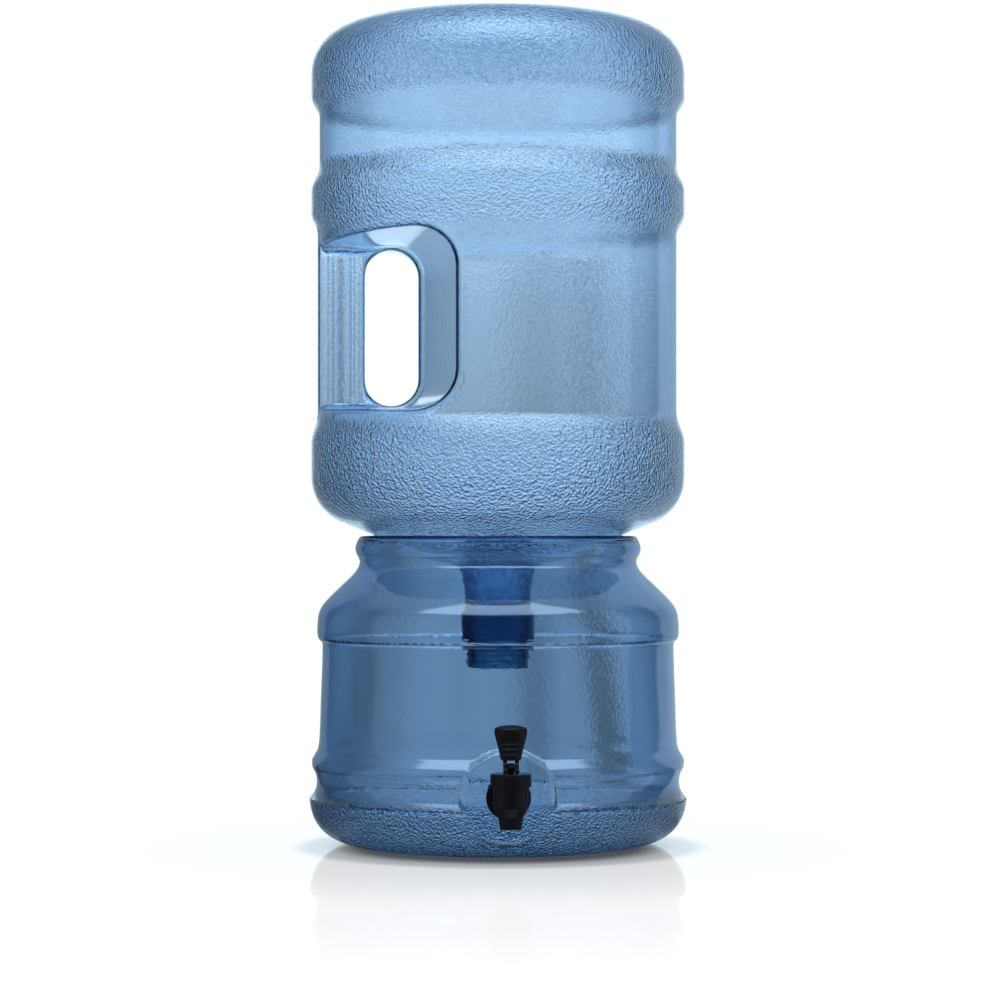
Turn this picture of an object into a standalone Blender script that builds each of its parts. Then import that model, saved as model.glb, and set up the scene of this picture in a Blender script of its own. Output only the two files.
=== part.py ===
"""Five-gallon handled water jug, standing upside down on a dispenser base with a lever spigot.

Lengths below are millimetres; the helpers turn them into metres. Everything is set out around the jug's
vertical axis, with +X to the right, the spigot towards -Y and the jug's handle towards -X. Heights are above
the surface that the base stands on. The axis itself stands AXIS_Y behind the middle of the footprint.
"""

import math

import bmesh
import bpy
from mathutils import Matrix, Vector

MM = 0.001
GAP = 0.3  # left between pieces that touch
TURN_STEPS = 36  # facets round the jug and the base
SMALL_STEPS = 20  # facets round the spigot's pieces

# Jug, in its place on the base: its closed end is up and its neck is down.
JUG_TOP = 602.0
JUG_RADIUS = 137.5  # over the pebbled bands
JUG_WAIST = 131.8  # between the bands
JUG_WALL = 1.7
JUG_CORNER = (42.0, 37.0, 2.15)  # reach, height and roundness of the corner at the closed end
# Top and bottom of each step in the side wall, and whether it leads outwards.
BAND_EDGES = ((549, 535, False), (497, 480, True), (463.5, 447.5, False), (318, 295, True))
SHOULDER_RADIUS = 36.0  # of the arc that turns the side wall into the shoulder
SHOULDER_TOP = 270.0
SHOULDER_SLOPE = 0.40  # rise over run of the shoulder
NECK_RADIUS = 24.5
NECK_END = 129.5
COLLAR_RADIUS = 27.1
THREAD_ROOT = 22.7
THREAD_WIRE = 1.25
THREAD_PITCH = 4.4
THREAD_TURNS = 2.0
NECK_BORE = 19.5

# Handle: a finger slot through the side of the jug, between a grip and the body.
SLOT_X = (-99.0, -59.0)
SLOT_Z = (322.0, 436.0)
WEB_HALF = 12.0  # half the thickness of the web that the slot goes through
# Right side, bottom, top and corner radius of the pockets beside the grip, at the web and where they open
# at the jug's front and back.
POCKET_AT_WEB = (-56.0, 320.5, 437.5, 21.0)
POCKET_AT_FRONT = (-35.0, 314.5, 445.0, 30.0)
POCKET_FRONT_Y = 125.0
GRIP_CENTRE = -115.2
GRIP_HALF = (16.2, 20.0)  # half widths of the grip along X and Y
GRIP_Z = (309.0, 449.0)

# Base.
BASE_WALL = 2.4
LIP_TOP = 226.9
MOUTH_RADIUS = 91.5
BASE_CORNER = (46.0, 40.0, 2.55)
BASE_RADIUS = 138.4
STANDING_RADIUS = 93.0

# The round flat on the base's front that the spigot is screwed to. Its edge slopes out all round.
PAD_FACE = -135.5
PAD_RADIUS = 30.5
PAD_HEIGHT = 45.5
PAD_SLOPE = 0.6  # growth of its radius for each millimetre of the edge's depth
PAD_EDGE = 6.0

# Spigot: an upright valve chamber in front of the pad, on a shank that goes through the pad.
VALVE_Y = -168.0
SHANK_RADIUS = 9.4
SHANK_BORE = 4.2
SHANK_END = -112.0
FLANGE_RADIUS = 15.6
FLANGE_THICK = 3.0
WASHER_RADIUS = 14.5
WASHER_THICK = 2.0
NUT_THICK = 8.0
NUT_FLATS = 27.0
CHAMBER_RADIUS = 12.0
CHAMBER_BORE = 9.0
CHAMBER_Z = (36.0, 59.2)
SEAT_TOP = 39.6
SEAT_HEIGHT = 1.6
OUTLET_END = 26.4
OUTLET_BORE = 5.6
BONNET_RADIUS = 14.0
BONNET_Z = (55.4, 64.5)
BONNET_ROOF = 60.4  # underside of the bonnet's top

# Valve: a soft cup, snapped over the stem's foot, that a spring holds down on the seat.
STEM_RADIUS = 2.0
STEM_HEAD_HALF = 2.5  # half the thickness of the flat head
STEM_HEAD_RADIUS = 3.0
FOOT_RADIUS = 4.0
FOOT_THICK = 2.0
CUP_RADIUS = 8.4
CUP_Z = (39.9, 49.0)
CUP_FLOOR = 42.2
CUP_LEDGE = 46.4
SPRING_RADIUS = 5.2
SPRING_WIRE = 0.5
SPRING_TURNS = 4.5
SPRING_WASHER_THICK = 0.8

# Lever. Its two feet are cams: they lift the stem by CAM_LIFT millimetres for each radian of tilt.
PIN_HEIGHT = 68.5
PIN_RADIUS = 1.2
CAM_LIFT = 5.0
LEVER_TILT = math.radians(45)
FORK_HALF = (2.8, 5.3)  # inner and outer half width of the fork
FORK_ROOT = 73.6
KNOB_TOP = 97.6
KNOB_DEPTH = 0.78  # of its width

AXIS_Y = (BONNET_RADIUS - VALVE_Y - BASE_RADIUS) / 2  # centres the footprint on the origin

JUG_BLUE = (0.20, 0.42, 0.68)
BASE_BLUE = (0.10, 0.27, 0.50)
BLACK = (0.012, 0.012, 0.013)


# ---------------------------------------------------------------- helpers


def clear_scene():
    for old in list(bpy.data.objects):
        bpy.data.objects.remove(old)


def new_collection(name):
    made = bpy.data.collections.new(name)
    bpy.context.scene.collection.children.link(made)
    return made


def new_material(name, colour, roughness, metallic=0.0, clear=False):
    made = bpy.data.materials.new(name)
    made.use_nodes = True
    shader = made.node_tree.nodes["Principled BSDF"]
    shader.inputs["Base Color"].default_value = (*colour, 1)
    shader.inputs["Roughness"].default_value = roughness
    shader.inputs["Metallic"].default_value = metallic
    if clear:
        shader.inputs["Transmission Weight"].default_value = 1
        shader.inputs["IOR"].default_value = 1.585
    return made


def millimetres(point):
    return Vector(point) * MM


def add_object(name, mesh, collection, material=None):
    mesh.shade_smooth()
    mesh.set_sharp_from_angle(angle=math.radians(35))
    made = bpy.data.objects.new(name, mesh)
    made.parent = AXIS
    collection.objects.link(made)
    if material:
        made.data.materials.append(material)
    else:
        made.hide_render = True
        made.display_type = "WIRE"
    return made


def turned(name, profile, collection, material=None, steps=TURN_STEPS):
    """A solid turned about Z from (radius, height) points that run from its top down its outside."""
    mesh = bpy.data.meshes.new(name)
    points = [millimetres((r, 0, z)) for r, z in profile]
    mesh.from_pydata(points, [(i, i + 1) for i in range(len(points) - 1)], [])
    made = add_object(name, mesh, collection, material)
    screw = made.modifiers.new("Turn", "SCREW")
    screw.steps = screw.render_steps = steps
    screw.use_merge_vertices = True
    screw.merge_threshold = 0.00001
    screw.use_smooth_shade = True
    return made


def lofted(name, sections, collection, material=None):
    """A closed solid through outlines that have the same number of points, capped at both ends."""
    shape = bmesh.new()
    rings = [[shape.verts.new(millimetres(p)) for p in section] for section in sections]
    for near, far in zip(rings, rings[1:]):
        for i in range(len(near)):
            j = (i + 1) % len(near)
            shape.faces.new((near[i], near[j], far[j], far[i]))
    shape.faces.new(rings[0])
    shape.faces.new(rings[-1])
    bmesh.ops.recalc_face_normals(shape, faces=shape.faces)
    mesh = bpy.data.meshes.new(name)
    shape.to_mesh(mesh)
    shape.free()
    return add_object(name, mesh, collection, material)


def cylinder(name, radius, start, end, collection, material=None, steps=SMALL_STEPS):
    """A round bar from start to end."""
    start, end = millimetres(start), millimetres(end)
    shape = bmesh.new()
    bmesh.ops.create_cone(
        shape,
        cap_ends=True,
        segments=steps,
        radius1=radius * MM,
        radius2=radius * MM,
        depth=(end - start).length,
    )
    turn = Vector((0, 0, 1)).rotation_difference(end - start).to_matrix().to_4x4()
    shape.transform(Matrix.Translation((start + end) / 2) @ turn)
    mesh = bpy.data.meshes.new(name)
    shape.to_mesh(mesh)
    shape.free()
    return add_object(name, mesh, collection, material)


def move_origin(target, place):
    """Puts the piece's origin at place, on its joint's axis, without moving the piece."""
    target.data.transform(Matrix.Translation(-millimetres(place)))
    target.location = millimetres(place)
    return target


def along_shank(name, radius, start, end, collection, material=None, steps=24):
    """A bar on the shank's axis."""
    ends = [(0, y, PAD_HEIGHT) for y in (start, end)]
    return cylinder(name, radius, *ends, collection, material, steps)


def boolean(target, operation, other):
    made = target.modifiers.new(f"{operation} {other.name}", "BOOLEAN")
    made.operation = operation
    made.solver = "EXACT"
    made.object = other
    return target


def wire(name, points, radius, collection, material=None):
    """A round wire through points, as a mesh with welded caps."""
    curve = bpy.data.curves.new(name, "CURVE")
    curve.dimensions = "3D"
    curve.bevel_depth = radius * MM
    curve.bevel_resolution = 2
    curve.use_fill_caps = True
    spline = curve.splines.new("POLY")
    spline.points.add(len(points) - 1)
    for point, place in zip(spline.points, points):
        point.co = (*millimetres(place), 1)
    guide = bpy.data.objects.new(name + "_guide", curve)
    CUTTERS.objects.link(guide)
    graph = bpy.context.evaluated_depsgraph_get()
    mesh = bpy.data.meshes.new_from_object(guide.evaluated_get(graph))
    bpy.data.objects.remove(guide)
    shape = bmesh.new()
    shape.from_mesh(mesh)
    bmesh.ops.remove_doubles(shape, verts=shape.verts, dist=1e-6)
    bmesh.ops.recalc_face_normals(shape, faces=shape.faces)
    shape.to_mesh(mesh)
    shape.free()
    return add_object(name, mesh, collection, material)


def helix(radius, low, pitch, turns, steps=SMALL_STEPS):
    angles = (2 * math.pi * i / steps for i in range(round(turns * steps) + 1))
    return [(radius * math.cos(a), radius * math.sin(a), low + pitch * a / (2 * math.pi)) for a in angles]


def arc(centre, radius, first, last, count):
    """Points of an arc, angles in degrees from +r towards +z."""
    angles = (math.radians(first + (last - first) * i / count) for i in range(count + 1))
    return [
        (centre[0] + radius * math.cos(a), centre[1] + radius * math.sin(a)) for a in angles
    ]


def corner_curve(centre, reach, height, power, count):
    """A quarter superellipse from straight above (or below) the centre out to its side."""
    angles = (math.pi / 2 * (1 - i / count) for i in range(count + 1))
    return [
        (
            centre[0] + reach * math.cos(a) ** (2 / power),
            centre[1] + height * math.sin(a) ** (2 / power),
        )
        for a in angles
    ]


def inset(profile, wall):
    """The profile moved inwards by the wall's thickness. Inwards is to the right of its run."""
    moved = []
    for i, (r, z) in enumerate(profile):
        before = Vector(profile[max(i - 1, 0)])
        after = Vector(profile[min(i + 1, len(profile) - 1)])
        here = Vector((r, z))
        first = (here - before).normalized() if i else (after - here).normalized()
        second = (after - here).normalized() if i < len(profile) - 1 else first
        run = (first + second).normalized()
        spread = max(0.5, run.dot(second))
        on_axis = r == 0
        moved.append((0 if on_axis else r + run.y * wall / spread, z - run.x * wall / spread))
    return moved


# ---------------------------------------------------------------- jug


def band_edge(start, end, detail):
    """An S-shaped step between two radii of the side wall, after its start point."""
    shares = [i / detail for i in range(1, detail + 1)]
    return [
        (start[0] + (end[0] - start[0]) * t * t * (3 - 2 * t), start[1] + (end[1] - start[1]) * t)
        for t in shares
    ]


def jug_body_profile(detail):
    """From the middle of the closed end, down the side and the shoulder, to the neck's funnel."""
    reach, height, power = JUG_CORNER
    standing = JUG_RADIUS - reach
    closed_end = [(0, JUG_TOP - 15), (52, JUG_TOP - 14), (78, JUG_TOP - 7), (88, JUG_TOP)]
    corner = corner_curve((standing, JUG_TOP - height), reach, height, power, detail + 3)
    side = []
    for high, low, outward in BAND_EDGES:
        radii = (JUG_WAIST, JUG_RADIUS) if outward else (JUG_RADIUS, JUG_WAIST)
        start, end = (radii[0], high), (radii[1], low)
        side += [start] + band_edge(start, end, detail)
    turn = 90 - math.degrees(math.atan(SHOULDER_SLOPE))
    shoulder = arc((JUG_RADIUS - SHOULDER_RADIUS, SHOULDER_TOP), SHOULDER_RADIUS, 0, -turn, 5)
    edge_r, edge_z = shoulder[-1]
    funnel_r = 37.0
    cone_end = [(funnel_r, edge_z - SHOULDER_SLOPE * (edge_r - funnel_r))]
    funnel = [(31.2, 201.2), (27.4, 196.0), (25.2, 188.5), (NECK_RADIUS, 179.0)]
    return closed_end + corner + side + shoulder + cone_end + funnel


def jug_neck_profile():
    """Collar, transfer ring and threaded end, down to the mouth, and closed on the axis."""
    return [
        (NECK_RADIUS, 173.4),
        (COLLAR_RADIUS - 0.6, 172.8),
        (COLLAR_RADIUS, 172.0),
        (COLLAR_RADIUS, 149.4),
        (22.2, 148.9),
        (22.2, 146.8),
        (COLLAR_RADIUS, 146.6),
        (COLLAR_RADIUS, 144.9),
        (THREAD_ROOT, 144.3),
        (THREAD_ROOT, 130.6),
        (THREAD_ROOT - 1.0, NECK_END),
        (0, NECK_END),
    ]


def jug_cavity_profile():
    below_mouth = NECK_END - 8
    bore = [(21.4, 172.0), (21.4, 150.0), (NECK_BORE, 146.0), (NECK_BORE, below_mouth), (0, below_mouth)]
    return inset(jug_body_profile(1), JUG_WALL) + bore


def pocket_section(y, share, grow):
    """Outline of the hollow beside the grip. Share is 0 at the web and 1 at the jug's front or back."""
    right, low, high, bend = (a + share * (b - a) for a, b in zip(POCKET_AT_WEB, POCKET_AT_FRONT))
    right, low, high, bend = right + grow, low - grow, high + grow, bend + grow
    far = -2 * JUG_RADIUS
    lower = arc((right - bend, low + bend), bend, -90, 0, 5)
    upper = arc((right - bend, high - bend), bend, 0, 90, 5)
    return [(x, y, z) for x, z in [(far, low), *lower, *upper, (far, high)]]


def pocket_cutter(name, side, grow):
    """The hollow on the front (side -1) or back (side 1) of the handle's web, grown on every face."""
    web = side * (WEB_HALF - grow)
    front = side * POCKET_FRONT_Y
    beyond = side * 175.0
    past = (beyond - web) / (front - web)
    sections = [pocket_section(web, 0, grow), pocket_section(beyond, past, grow)]
    return lofted(name, sections, CUTTERS)


def slot_cutter(name, grow):
    """The finger slot: straight sides and half-round ends."""
    radius = (SLOT_X[1] - SLOT_X[0]) / 2 + grow
    middle = sum(SLOT_X) / 2
    ends = (SLOT_Z[0] - grow + radius, SLOT_Z[1] + grow - radius)
    outline = arc((middle, ends[0]), radius, 180, 360, 10) + arc((middle, ends[1]), radius, 0, 180, 10)
    return lofted(name, [[(x, y, z) for x, z in outline] for y in (-60, 60)], CUTTERS)


def grip_bar(name, inset_by):
    """The grip between the slot and the jug's side, as an upright bar with an oval section."""
    half_x, half_y = GRIP_HALF[0] - inset_by, GRIP_HALF[1] - inset_by
    angles = [2 * math.pi * (i + 0.5) / 20 for i in range(20)]
    oval = [(GRIP_CENTRE + half_x * math.cos(a), half_y * math.sin(a)) for a in angles]
    return lofted(name, [[(x, y, z) for x, y in oval] for z in GRIP_Z], CUTTERS)


def carve_handle(target, label, grow):
    for side, place in ((-1, "front"), (1, "back")):
        boolean(target, "DIFFERENCE", pocket_cutter(f"{label}_pocket_{place}", side, grow))
    boolean(target, "DIFFERENCE", slot_cutter(f"{label}_slot", grow))
    boolean(target, "UNION", grip_bar(f"{label}_grip", grow))


def make_jug():
    body = turned("water_jug", jug_body_profile(3) + jug_neck_profile(), PARTS, JUG_PLASTIC)
    carve_handle(body, "jug", 0)
    low = NECK_END + 3.2
    thread = wire("neck_thread", helix(THREAD_ROOT, low, THREAD_PITCH, THREAD_TURNS), THREAD_WIRE, CUTTERS)
    boolean(body, "UNION", thread)
    cavity = turned("jug_cavity", jug_cavity_profile(), CUTTERS)
    carve_handle(cavity, "cavity", JUG_WALL)
    boolean(body, "DIFFERENCE", cavity)


# ---------------------------------------------------------------- base


def base_outline():
    """From the rolled lip, down the side, to the ring that the base stands on."""
    reach, height, power = BASE_CORNER
    lip = [(101.0, LIP_TOP - 0.8), (104.2, 222.8), (105.6, 217.5), (104.4, 212.8), (102.5, 209.2)]
    shoulder = [(102.4, 206.2), (105.0, 201.5), (115.2, 191.6), (125.6, 181.2)]
    crown = [(130.0, 175.4), (132.6, 169.5), (133.3, 163.5), (133.3, 153.5)]
    side = [(132.0, 150.6), (129.9, 148.6), (129.7, 145.0), (131.8, 76.5)]
    bead = [(132.6, 71.6), (135.3, 66.6), (137.0, 62.5), (136.8, 57.6), (134.6, 53.2)]
    waist = [(133.7, 50.2), (133.7, 42.6), (135.4, 38.4), (BASE_RADIUS, 34.0)]
    corner = corner_curve((STANDING_RADIUS, 0), reach, height, power, 7)
    foot = [(r, height - z) for r, z in corner[-2::-1]]
    return lip + shoulder + crown + side + bead + waist + foot


def base_underside():
    """The dome under the base, from inside the standing ring to the axis."""
    return [(81.0, 0.0), (74.0, 4.5), (60.0, 8.0), (0.0, 9.5)]


def pad_ring(radius, y):
    angles = [2 * math.pi * i / 32 for i in range(32)]
    return [(radius * math.cos(a), y, PAD_HEIGHT + radius * math.sin(a)) for a in angles]


def shape_pad(target, label, face, radius):
    """Brings the wall out to the pad's face where it is behind it, and cuts it back where it is in front."""
    foot = radius + PAD_EDGE * PAD_SLOPE
    block = [pad_ring(foot, face + 22), pad_ring(foot, face + PAD_EDGE), pad_ring(radius, face)]
    boolean(target, "UNION", lofted(label + "_block", block, CUTTERS))
    trim = [pad_ring(radius + 1, face), pad_ring(foot + 1, face - PAD_EDGE)]
    boolean(target, "DIFFERENCE", lofted(label + "_trim", trim, CUTTERS))


def make_base():
    outline = base_outline()
    underside = base_underside()
    mouth_edge = (MOUTH_RADIUS + 5, LIP_TOP)
    body = turned("dispenser_base", [(0, LIP_TOP), mouth_edge, *outline, *underside], PARTS, BASE_PLASTIC)
    shape_pad(body, "pad", PAD_FACE, PAD_RADIUS)
    above, lip_edge = LIP_TOP + 20, LIP_TOP - BASE_WALL
    mouth = [(0, above), (MOUTH_RADIUS, above), (MOUTH_RADIUS, lip_edge)]
    inside = inset([mouth_edge, *outline[::2], *underside], BASE_WALL)
    cavity = turned("base_cavity", mouth + inside, CUTTERS)
    shape_pad(cavity, "pad_back", PAD_FACE + BASE_WALL, PAD_RADIUS - BASE_WALL / 2)
    boolean(body, "DIFFERENCE", cavity)
    boolean(body, "DIFFERENCE", along_shank("shank_hole", SHANK_RADIUS + GAP, -145, -120, CUTTERS))


# ---------------------------------------------------------------- spigot


def at_valve(target):
    """Moves a piece turned on the jug's axis to the valve's axis."""
    target.location = millimetres((0, VALVE_Y, 0))
    return target


def cross_pin(name, radius, half, collection, material=None):
    """A bar through the lever and the stem's head, on the lever's axis."""
    ends = [(side * half, VALVE_Y, PIN_HEIGHT) for side in (-1, 1)]
    return cylinder(name, radius, *ends, collection, material, steps=20)


def ring(name, outer, start, thickness, material, steps=28):
    """A flat ring round the shank, from start towards the inside of the base."""
    end = start + thickness
    made = along_shank(name, outer, start, end, PARTS, material, steps)
    bore = along_shank(name + "_bore", SHANK_RADIUS + GAP, start - 2, end + 2, CUTTERS, steps=24)
    return boolean(made, "DIFFERENCE", bore)


def make_spigot_body():
    """Chamber, outlet, flange and hollow shank in one piece, with a raised seat round the outlet."""
    low, high = CHAMBER_Z
    outside = [
        (0, high),
        (CHAMBER_RADIUS, high),
        (CHAMBER_RADIUS, low + 5.0),
        (11.0, low + 2.0),
        (8.7, low - 1.0),
        (7.3, OUTLET_END),
        (0, OUTLET_END),
    ]
    body = at_valve(turned("spigot_body", outside, PARTS, SPIGOT_PLASTIC, steps=28))
    flange_face = PAD_FACE - WASHER_THICK - 2 * GAP
    boolean(body, "UNION", along_shank("shank", SHANK_RADIUS, VALVE_Y + 4, SHANK_END, CUTTERS))
    flange = along_shank("flange", FLANGE_RADIUS, flange_face - FLANGE_THICK, flange_face, CUTTERS)
    boolean(body, "UNION", flange)
    bore = [
        (0, high + 5),
        (CHAMBER_BORE, high + 5),
        (CHAMBER_BORE, SEAT_TOP - SEAT_HEIGHT),
        (OUTLET_BORE + 1.4, SEAT_TOP - SEAT_HEIGHT),
        (OUTLET_BORE + 1.0, SEAT_TOP),
        (OUTLET_BORE, SEAT_TOP),
        (OUTLET_BORE, OUTLET_END - 5),
        (0, OUTLET_END - 5),
    ]
    boolean(body, "DIFFERENCE", at_valve(turned("chamber_bore", bore, CUTTERS, steps=24)))
    boolean(body, "DIFFERENCE", along_shank("shank_bore", SHANK_BORE, VALVE_Y + 5, SHANK_END + 5, CUTTERS))


def make_bonnet():
    """The ring-shaped cover that closes the chamber and guides the stem."""
    low, high = BONNET_Z
    skirt = CHAMBER_RADIUS + GAP
    hole = STEM_RADIUS + GAP
    profile = [
        (hole, high),
        (BONNET_RADIUS - 0.8, high),
        (BONNET_RADIUS, high - 0.8),
        (BONNET_RADIUS, low),
        (skirt, low),
        (skirt, BONNET_ROOF),
        (hole, BONNET_ROOF),
        (hole, high),
    ]
    at_valve(turned("spigot_bonnet", profile, PARTS, SPIGOT_PLASTIC, steps=32))


def make_stem():
    """The stem: a foot inside the cup, a rod, and a rounded flat head that the lever is pinned to."""
    neck = PIN_HEIGHT - 3.0
    foot_low = CUP_FLOOR + GAP
    rod = [
        (0, neck),
        (STEM_RADIUS, neck),
        (STEM_RADIUS, foot_low + FOOT_THICK + 0.5),
        (FOOT_RADIUS, foot_low + FOOT_THICK),
        (FOOT_RADIUS, foot_low),
        (0, foot_low),
    ]
    stem = at_valve(turned("valve_stem", rod, PARTS, STEM_PLASTIC, steps=20))
    crown = arc((0, PIN_HEIGHT), STEM_HEAD_RADIUS, 0, 180, 10)
    outline = crown + [(-STEM_RADIUS, neck - 0.4), (STEM_RADIUS, neck - 0.4)]
    sections = [
        [(x, VALVE_Y + y, z) for y, z in outline] for x in (-STEM_HEAD_HALF, STEM_HEAD_HALF)
    ]
    boolean(stem, "UNION", lofted("stem_head", sections, CUTTERS))
    boolean(stem, "DIFFERENCE", cross_pin("stem_eye", PIN_RADIUS + GAP, 9, CUTTERS))


def make_seat_cup():
    """The soft cup, whose underside closes the outlet and whose lip holds the stem's foot."""
    low, high = CUP_Z
    foot_room = FOOT_RADIUS + GAP
    lip_low = CUP_FLOOR + FOOT_THICK + 3 * GAP
    lip = STEM_RADIUS + 2 * GAP
    profile = [
        (CUP_RADIUS - 0.8, high),
        (CUP_RADIUS, high - 0.6),
        (CUP_RADIUS, low + 1.6),
        (CUP_RADIUS - 1.6, low),
        (0, low),
        (0, CUP_FLOOR),
        (foot_room, CUP_FLOOR),
        (foot_room, lip_low),
        (lip, lip_low + 0.4),
        (lip, CUP_LEDGE),
        (CUP_RADIUS - 1.7, CUP_LEDGE),
        (CUP_RADIUS - 0.8, high),
    ]
    at_valve(turned("seat_cup", profile, PARTS, SILICONE, steps=20))


def make_spring():
    """The spring and the washer that it stands on, between the cup and the bonnet."""
    low = CUP_LEDGE + GAP
    high = low + SPRING_WASHER_THICK
    inner = STEM_RADIUS + GAP
    washer = [(inner, high), (6.2, high), (6.2, low), (inner, low), (inner, high)]
    at_valve(turned("spring_washer", washer, PARTS, STEEL, steps=20))
    bottom = high + GAP + SPRING_WIRE
    top = BONNET_ROOF - GAP - SPRING_WIRE
    turns = helix(SPRING_RADIUS, bottom, (top - bottom) / SPRING_TURNS, SPRING_TURNS, 12)
    at_valve(wire("valve_spring", turns, SPRING_WIRE, PARTS, STEEL))


def lever_side_outline():
    """One fork leg from the side, as (y, z) about the pin. Forward is -Y.

    At a forward tilt t the foot touches the bonnet CAM_LIFT ahead of the pin and
    pin_drop + CAM_LIFT * t below it; the foot's front is the curve of those touching points.
    """
    pin_drop = PIN_HEIGHT - BONNET_Z[1] - GAP
    root = FORK_ROOT - PIN_HEIGHT + 1.5
    steps = 6
    toe = []
    for i in range(steps + 1):
        tilt = (LEVER_TILT + math.radians(4)) * i / steps
        down = pin_drop + CAM_LIFT * tilt
        forward = CAM_LIFT * math.cos(tilt) + down * math.sin(tilt)
        toe.append((-forward, CAM_LIFT * math.sin(tilt) - down * math.cos(tilt)))
    back = [(3.4, root), (4.4, 0.0), (4.4, -2.6), (3.2, -pin_drop)]
    front = [(-7.4, 0.6), (-4.6, 1.8), (-3.4, root)]
    return back + toe + front


def make_lever():
    """The lever: an oval flared knob on a fork whose feet ride on the bonnet."""
    knob = [
        (2.5, KNOB_TOP),
        (6.5, KNOB_TOP - 0.5),
        (9.6, KNOB_TOP - 1.4),
        (11.1, KNOB_TOP - 2.8),
        (11.3, KNOB_TOP - 5.5),
        (10.4, KNOB_TOP - 10.0),
        (8.6, KNOB_TOP - 16.0),
        (7.2, FORK_ROOT + 2.0),
        (6.8, FORK_ROOT),
    ]
    angles = [2 * math.pi * i / 24 for i in range(24)]
    rings = [
        [(r * math.cos(a), VALVE_Y + KNOB_DEPTH * r * math.sin(a), z) for a in angles] for r, z in knob
    ]
    lever = lofted("spigot_lever", rings, PARTS, SPIGOT_PLASTIC)
    outline = lever_side_outline()
    for side, name in ((-1, "left"), (1, "right")):
        sections = [
            [(side * x, VALVE_Y + y, PIN_HEIGHT + z) for y, z in outline] for x in FORK_HALF
        ]
        boolean(lever, "UNION", lofted(f"fork_leg_{name}", sections, CUTTERS))
    boolean(lever, "DIFFERENCE", cross_pin("lever_eye", PIN_RADIUS + GAP, 9, CUTTERS))
    pin = cross_pin("lever_pin", PIN_RADIUS, FORK_HALF[1] + 0.2, PARTS, STEEL)
    for piece in (lever, pin):
        move_origin(piece, (0, VALVE_Y, PIN_HEIGHT))


def make_fixings():
    """The two washers and the nut that clamp the shank in the base's wall."""
    ring("outer_washer", WASHER_RADIUS, PAD_FACE - GAP - WASHER_THICK, WASHER_THICK, RUBBER)
    inner_face = PAD_FACE + BASE_WALL + GAP
    ring("inner_washer", WASHER_RADIUS, inner_face, WASHER_THICK, RUBBER)
    corner_radius = NUT_FLATS / 2 / math.cos(math.pi / 6)
    nut_face = inner_face + WASHER_THICK + GAP
    ring("shank_nut", corner_radius, nut_face, NUT_THICK, SPIGOT_PLASTIC, steps=6)


clear_scene()
PARTS = new_collection("water_jug_on_dispenser_base")
CUTTERS = new_collection("cutters")
CUTTERS.hide_render = True
AXIS = bpy.data.objects.new("jug_axis", None)
AXIS.location = millimetres((0, AXIS_Y, 0))
PARTS.objects.link(AXIS)

JUG_PLASTIC = new_material("jug_polycarbonate", JUG_BLUE, 0.04, clear=True)
BASE_PLASTIC = new_material("base_polycarbonate", BASE_BLUE, 0.04, clear=True)
SPIGOT_PLASTIC = new_material("spigot_plastic", BLACK, 0.35)
STEM_PLASTIC = new_material("stem_plastic", (0.02, 0.02, 0.022), 0.45)
SILICONE = new_material("seat_silicone", (0.55, 0.55, 0.53), 0.6)
RUBBER = new_material("washer_rubber", (0.02, 0.02, 0.02), 0.8)
STEEL = new_material("stainless_steel", (0.6, 0.6, 0.6), 0.25, metallic=1.0)

make_jug()
make_base()
make_spigot_body()
make_bonnet()
make_stem()
make_seat_cup()
make_spring()
make_lever()
make_fixings()
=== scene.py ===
"""Looks of the five-gallon handled water jug on its dispenser base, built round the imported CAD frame.

Shapes are set out in millimetres about the jug's vertical axis, as in the CAD: +X to the right, the spigot
towards -Y, the handle towards -X. Moulded shapes are signed-distance fields, meshed with a surface net.
"""

import math

import bmesh
import bpy
import numpy as np
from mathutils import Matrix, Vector


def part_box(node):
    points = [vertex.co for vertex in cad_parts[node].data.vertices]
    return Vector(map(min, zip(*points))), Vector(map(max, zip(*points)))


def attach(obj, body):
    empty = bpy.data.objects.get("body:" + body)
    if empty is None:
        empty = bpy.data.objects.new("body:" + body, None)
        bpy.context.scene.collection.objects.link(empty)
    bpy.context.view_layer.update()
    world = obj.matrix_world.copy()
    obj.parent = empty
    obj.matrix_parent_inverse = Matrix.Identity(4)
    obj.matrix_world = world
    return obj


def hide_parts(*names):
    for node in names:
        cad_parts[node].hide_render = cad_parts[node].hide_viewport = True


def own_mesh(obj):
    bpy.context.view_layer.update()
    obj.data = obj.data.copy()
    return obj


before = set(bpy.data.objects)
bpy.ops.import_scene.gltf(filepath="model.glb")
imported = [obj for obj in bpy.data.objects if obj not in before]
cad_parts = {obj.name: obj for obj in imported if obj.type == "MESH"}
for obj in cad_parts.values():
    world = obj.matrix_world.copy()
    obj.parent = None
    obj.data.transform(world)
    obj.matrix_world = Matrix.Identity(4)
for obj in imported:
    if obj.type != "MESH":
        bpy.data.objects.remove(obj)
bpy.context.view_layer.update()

MM = 0.001
JUG_LOW, JUG_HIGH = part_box("water_jug")
AXIS_Y = (JUG_LOW.y + JUG_HIGH.y) / 2  # the jug's axis, in metres
TURN = 192  # steps round the jug's neck and the base's lip
NET_STEP = (3.0, 3.0, 2.0)  # cells of the big shells' surface net

# Jug.
JUG_TOP = JUG_HIGH.z / MM
JUG_RADIUS = (JUG_HIGH.x - JUG_LOW.x) / 2 / MM
JUG_WAIST = 131.8
JUG_WALL = 1.7
JUG_CORNER = (42.0, 37.0, 2.15)  # reach, height and roundness of the corner at the closed end
DISH_DEPTH, DISH_RADII = 15.0, (46.0, 90.0)  # of the closed end: how deep, and where its side starts and ends
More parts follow.
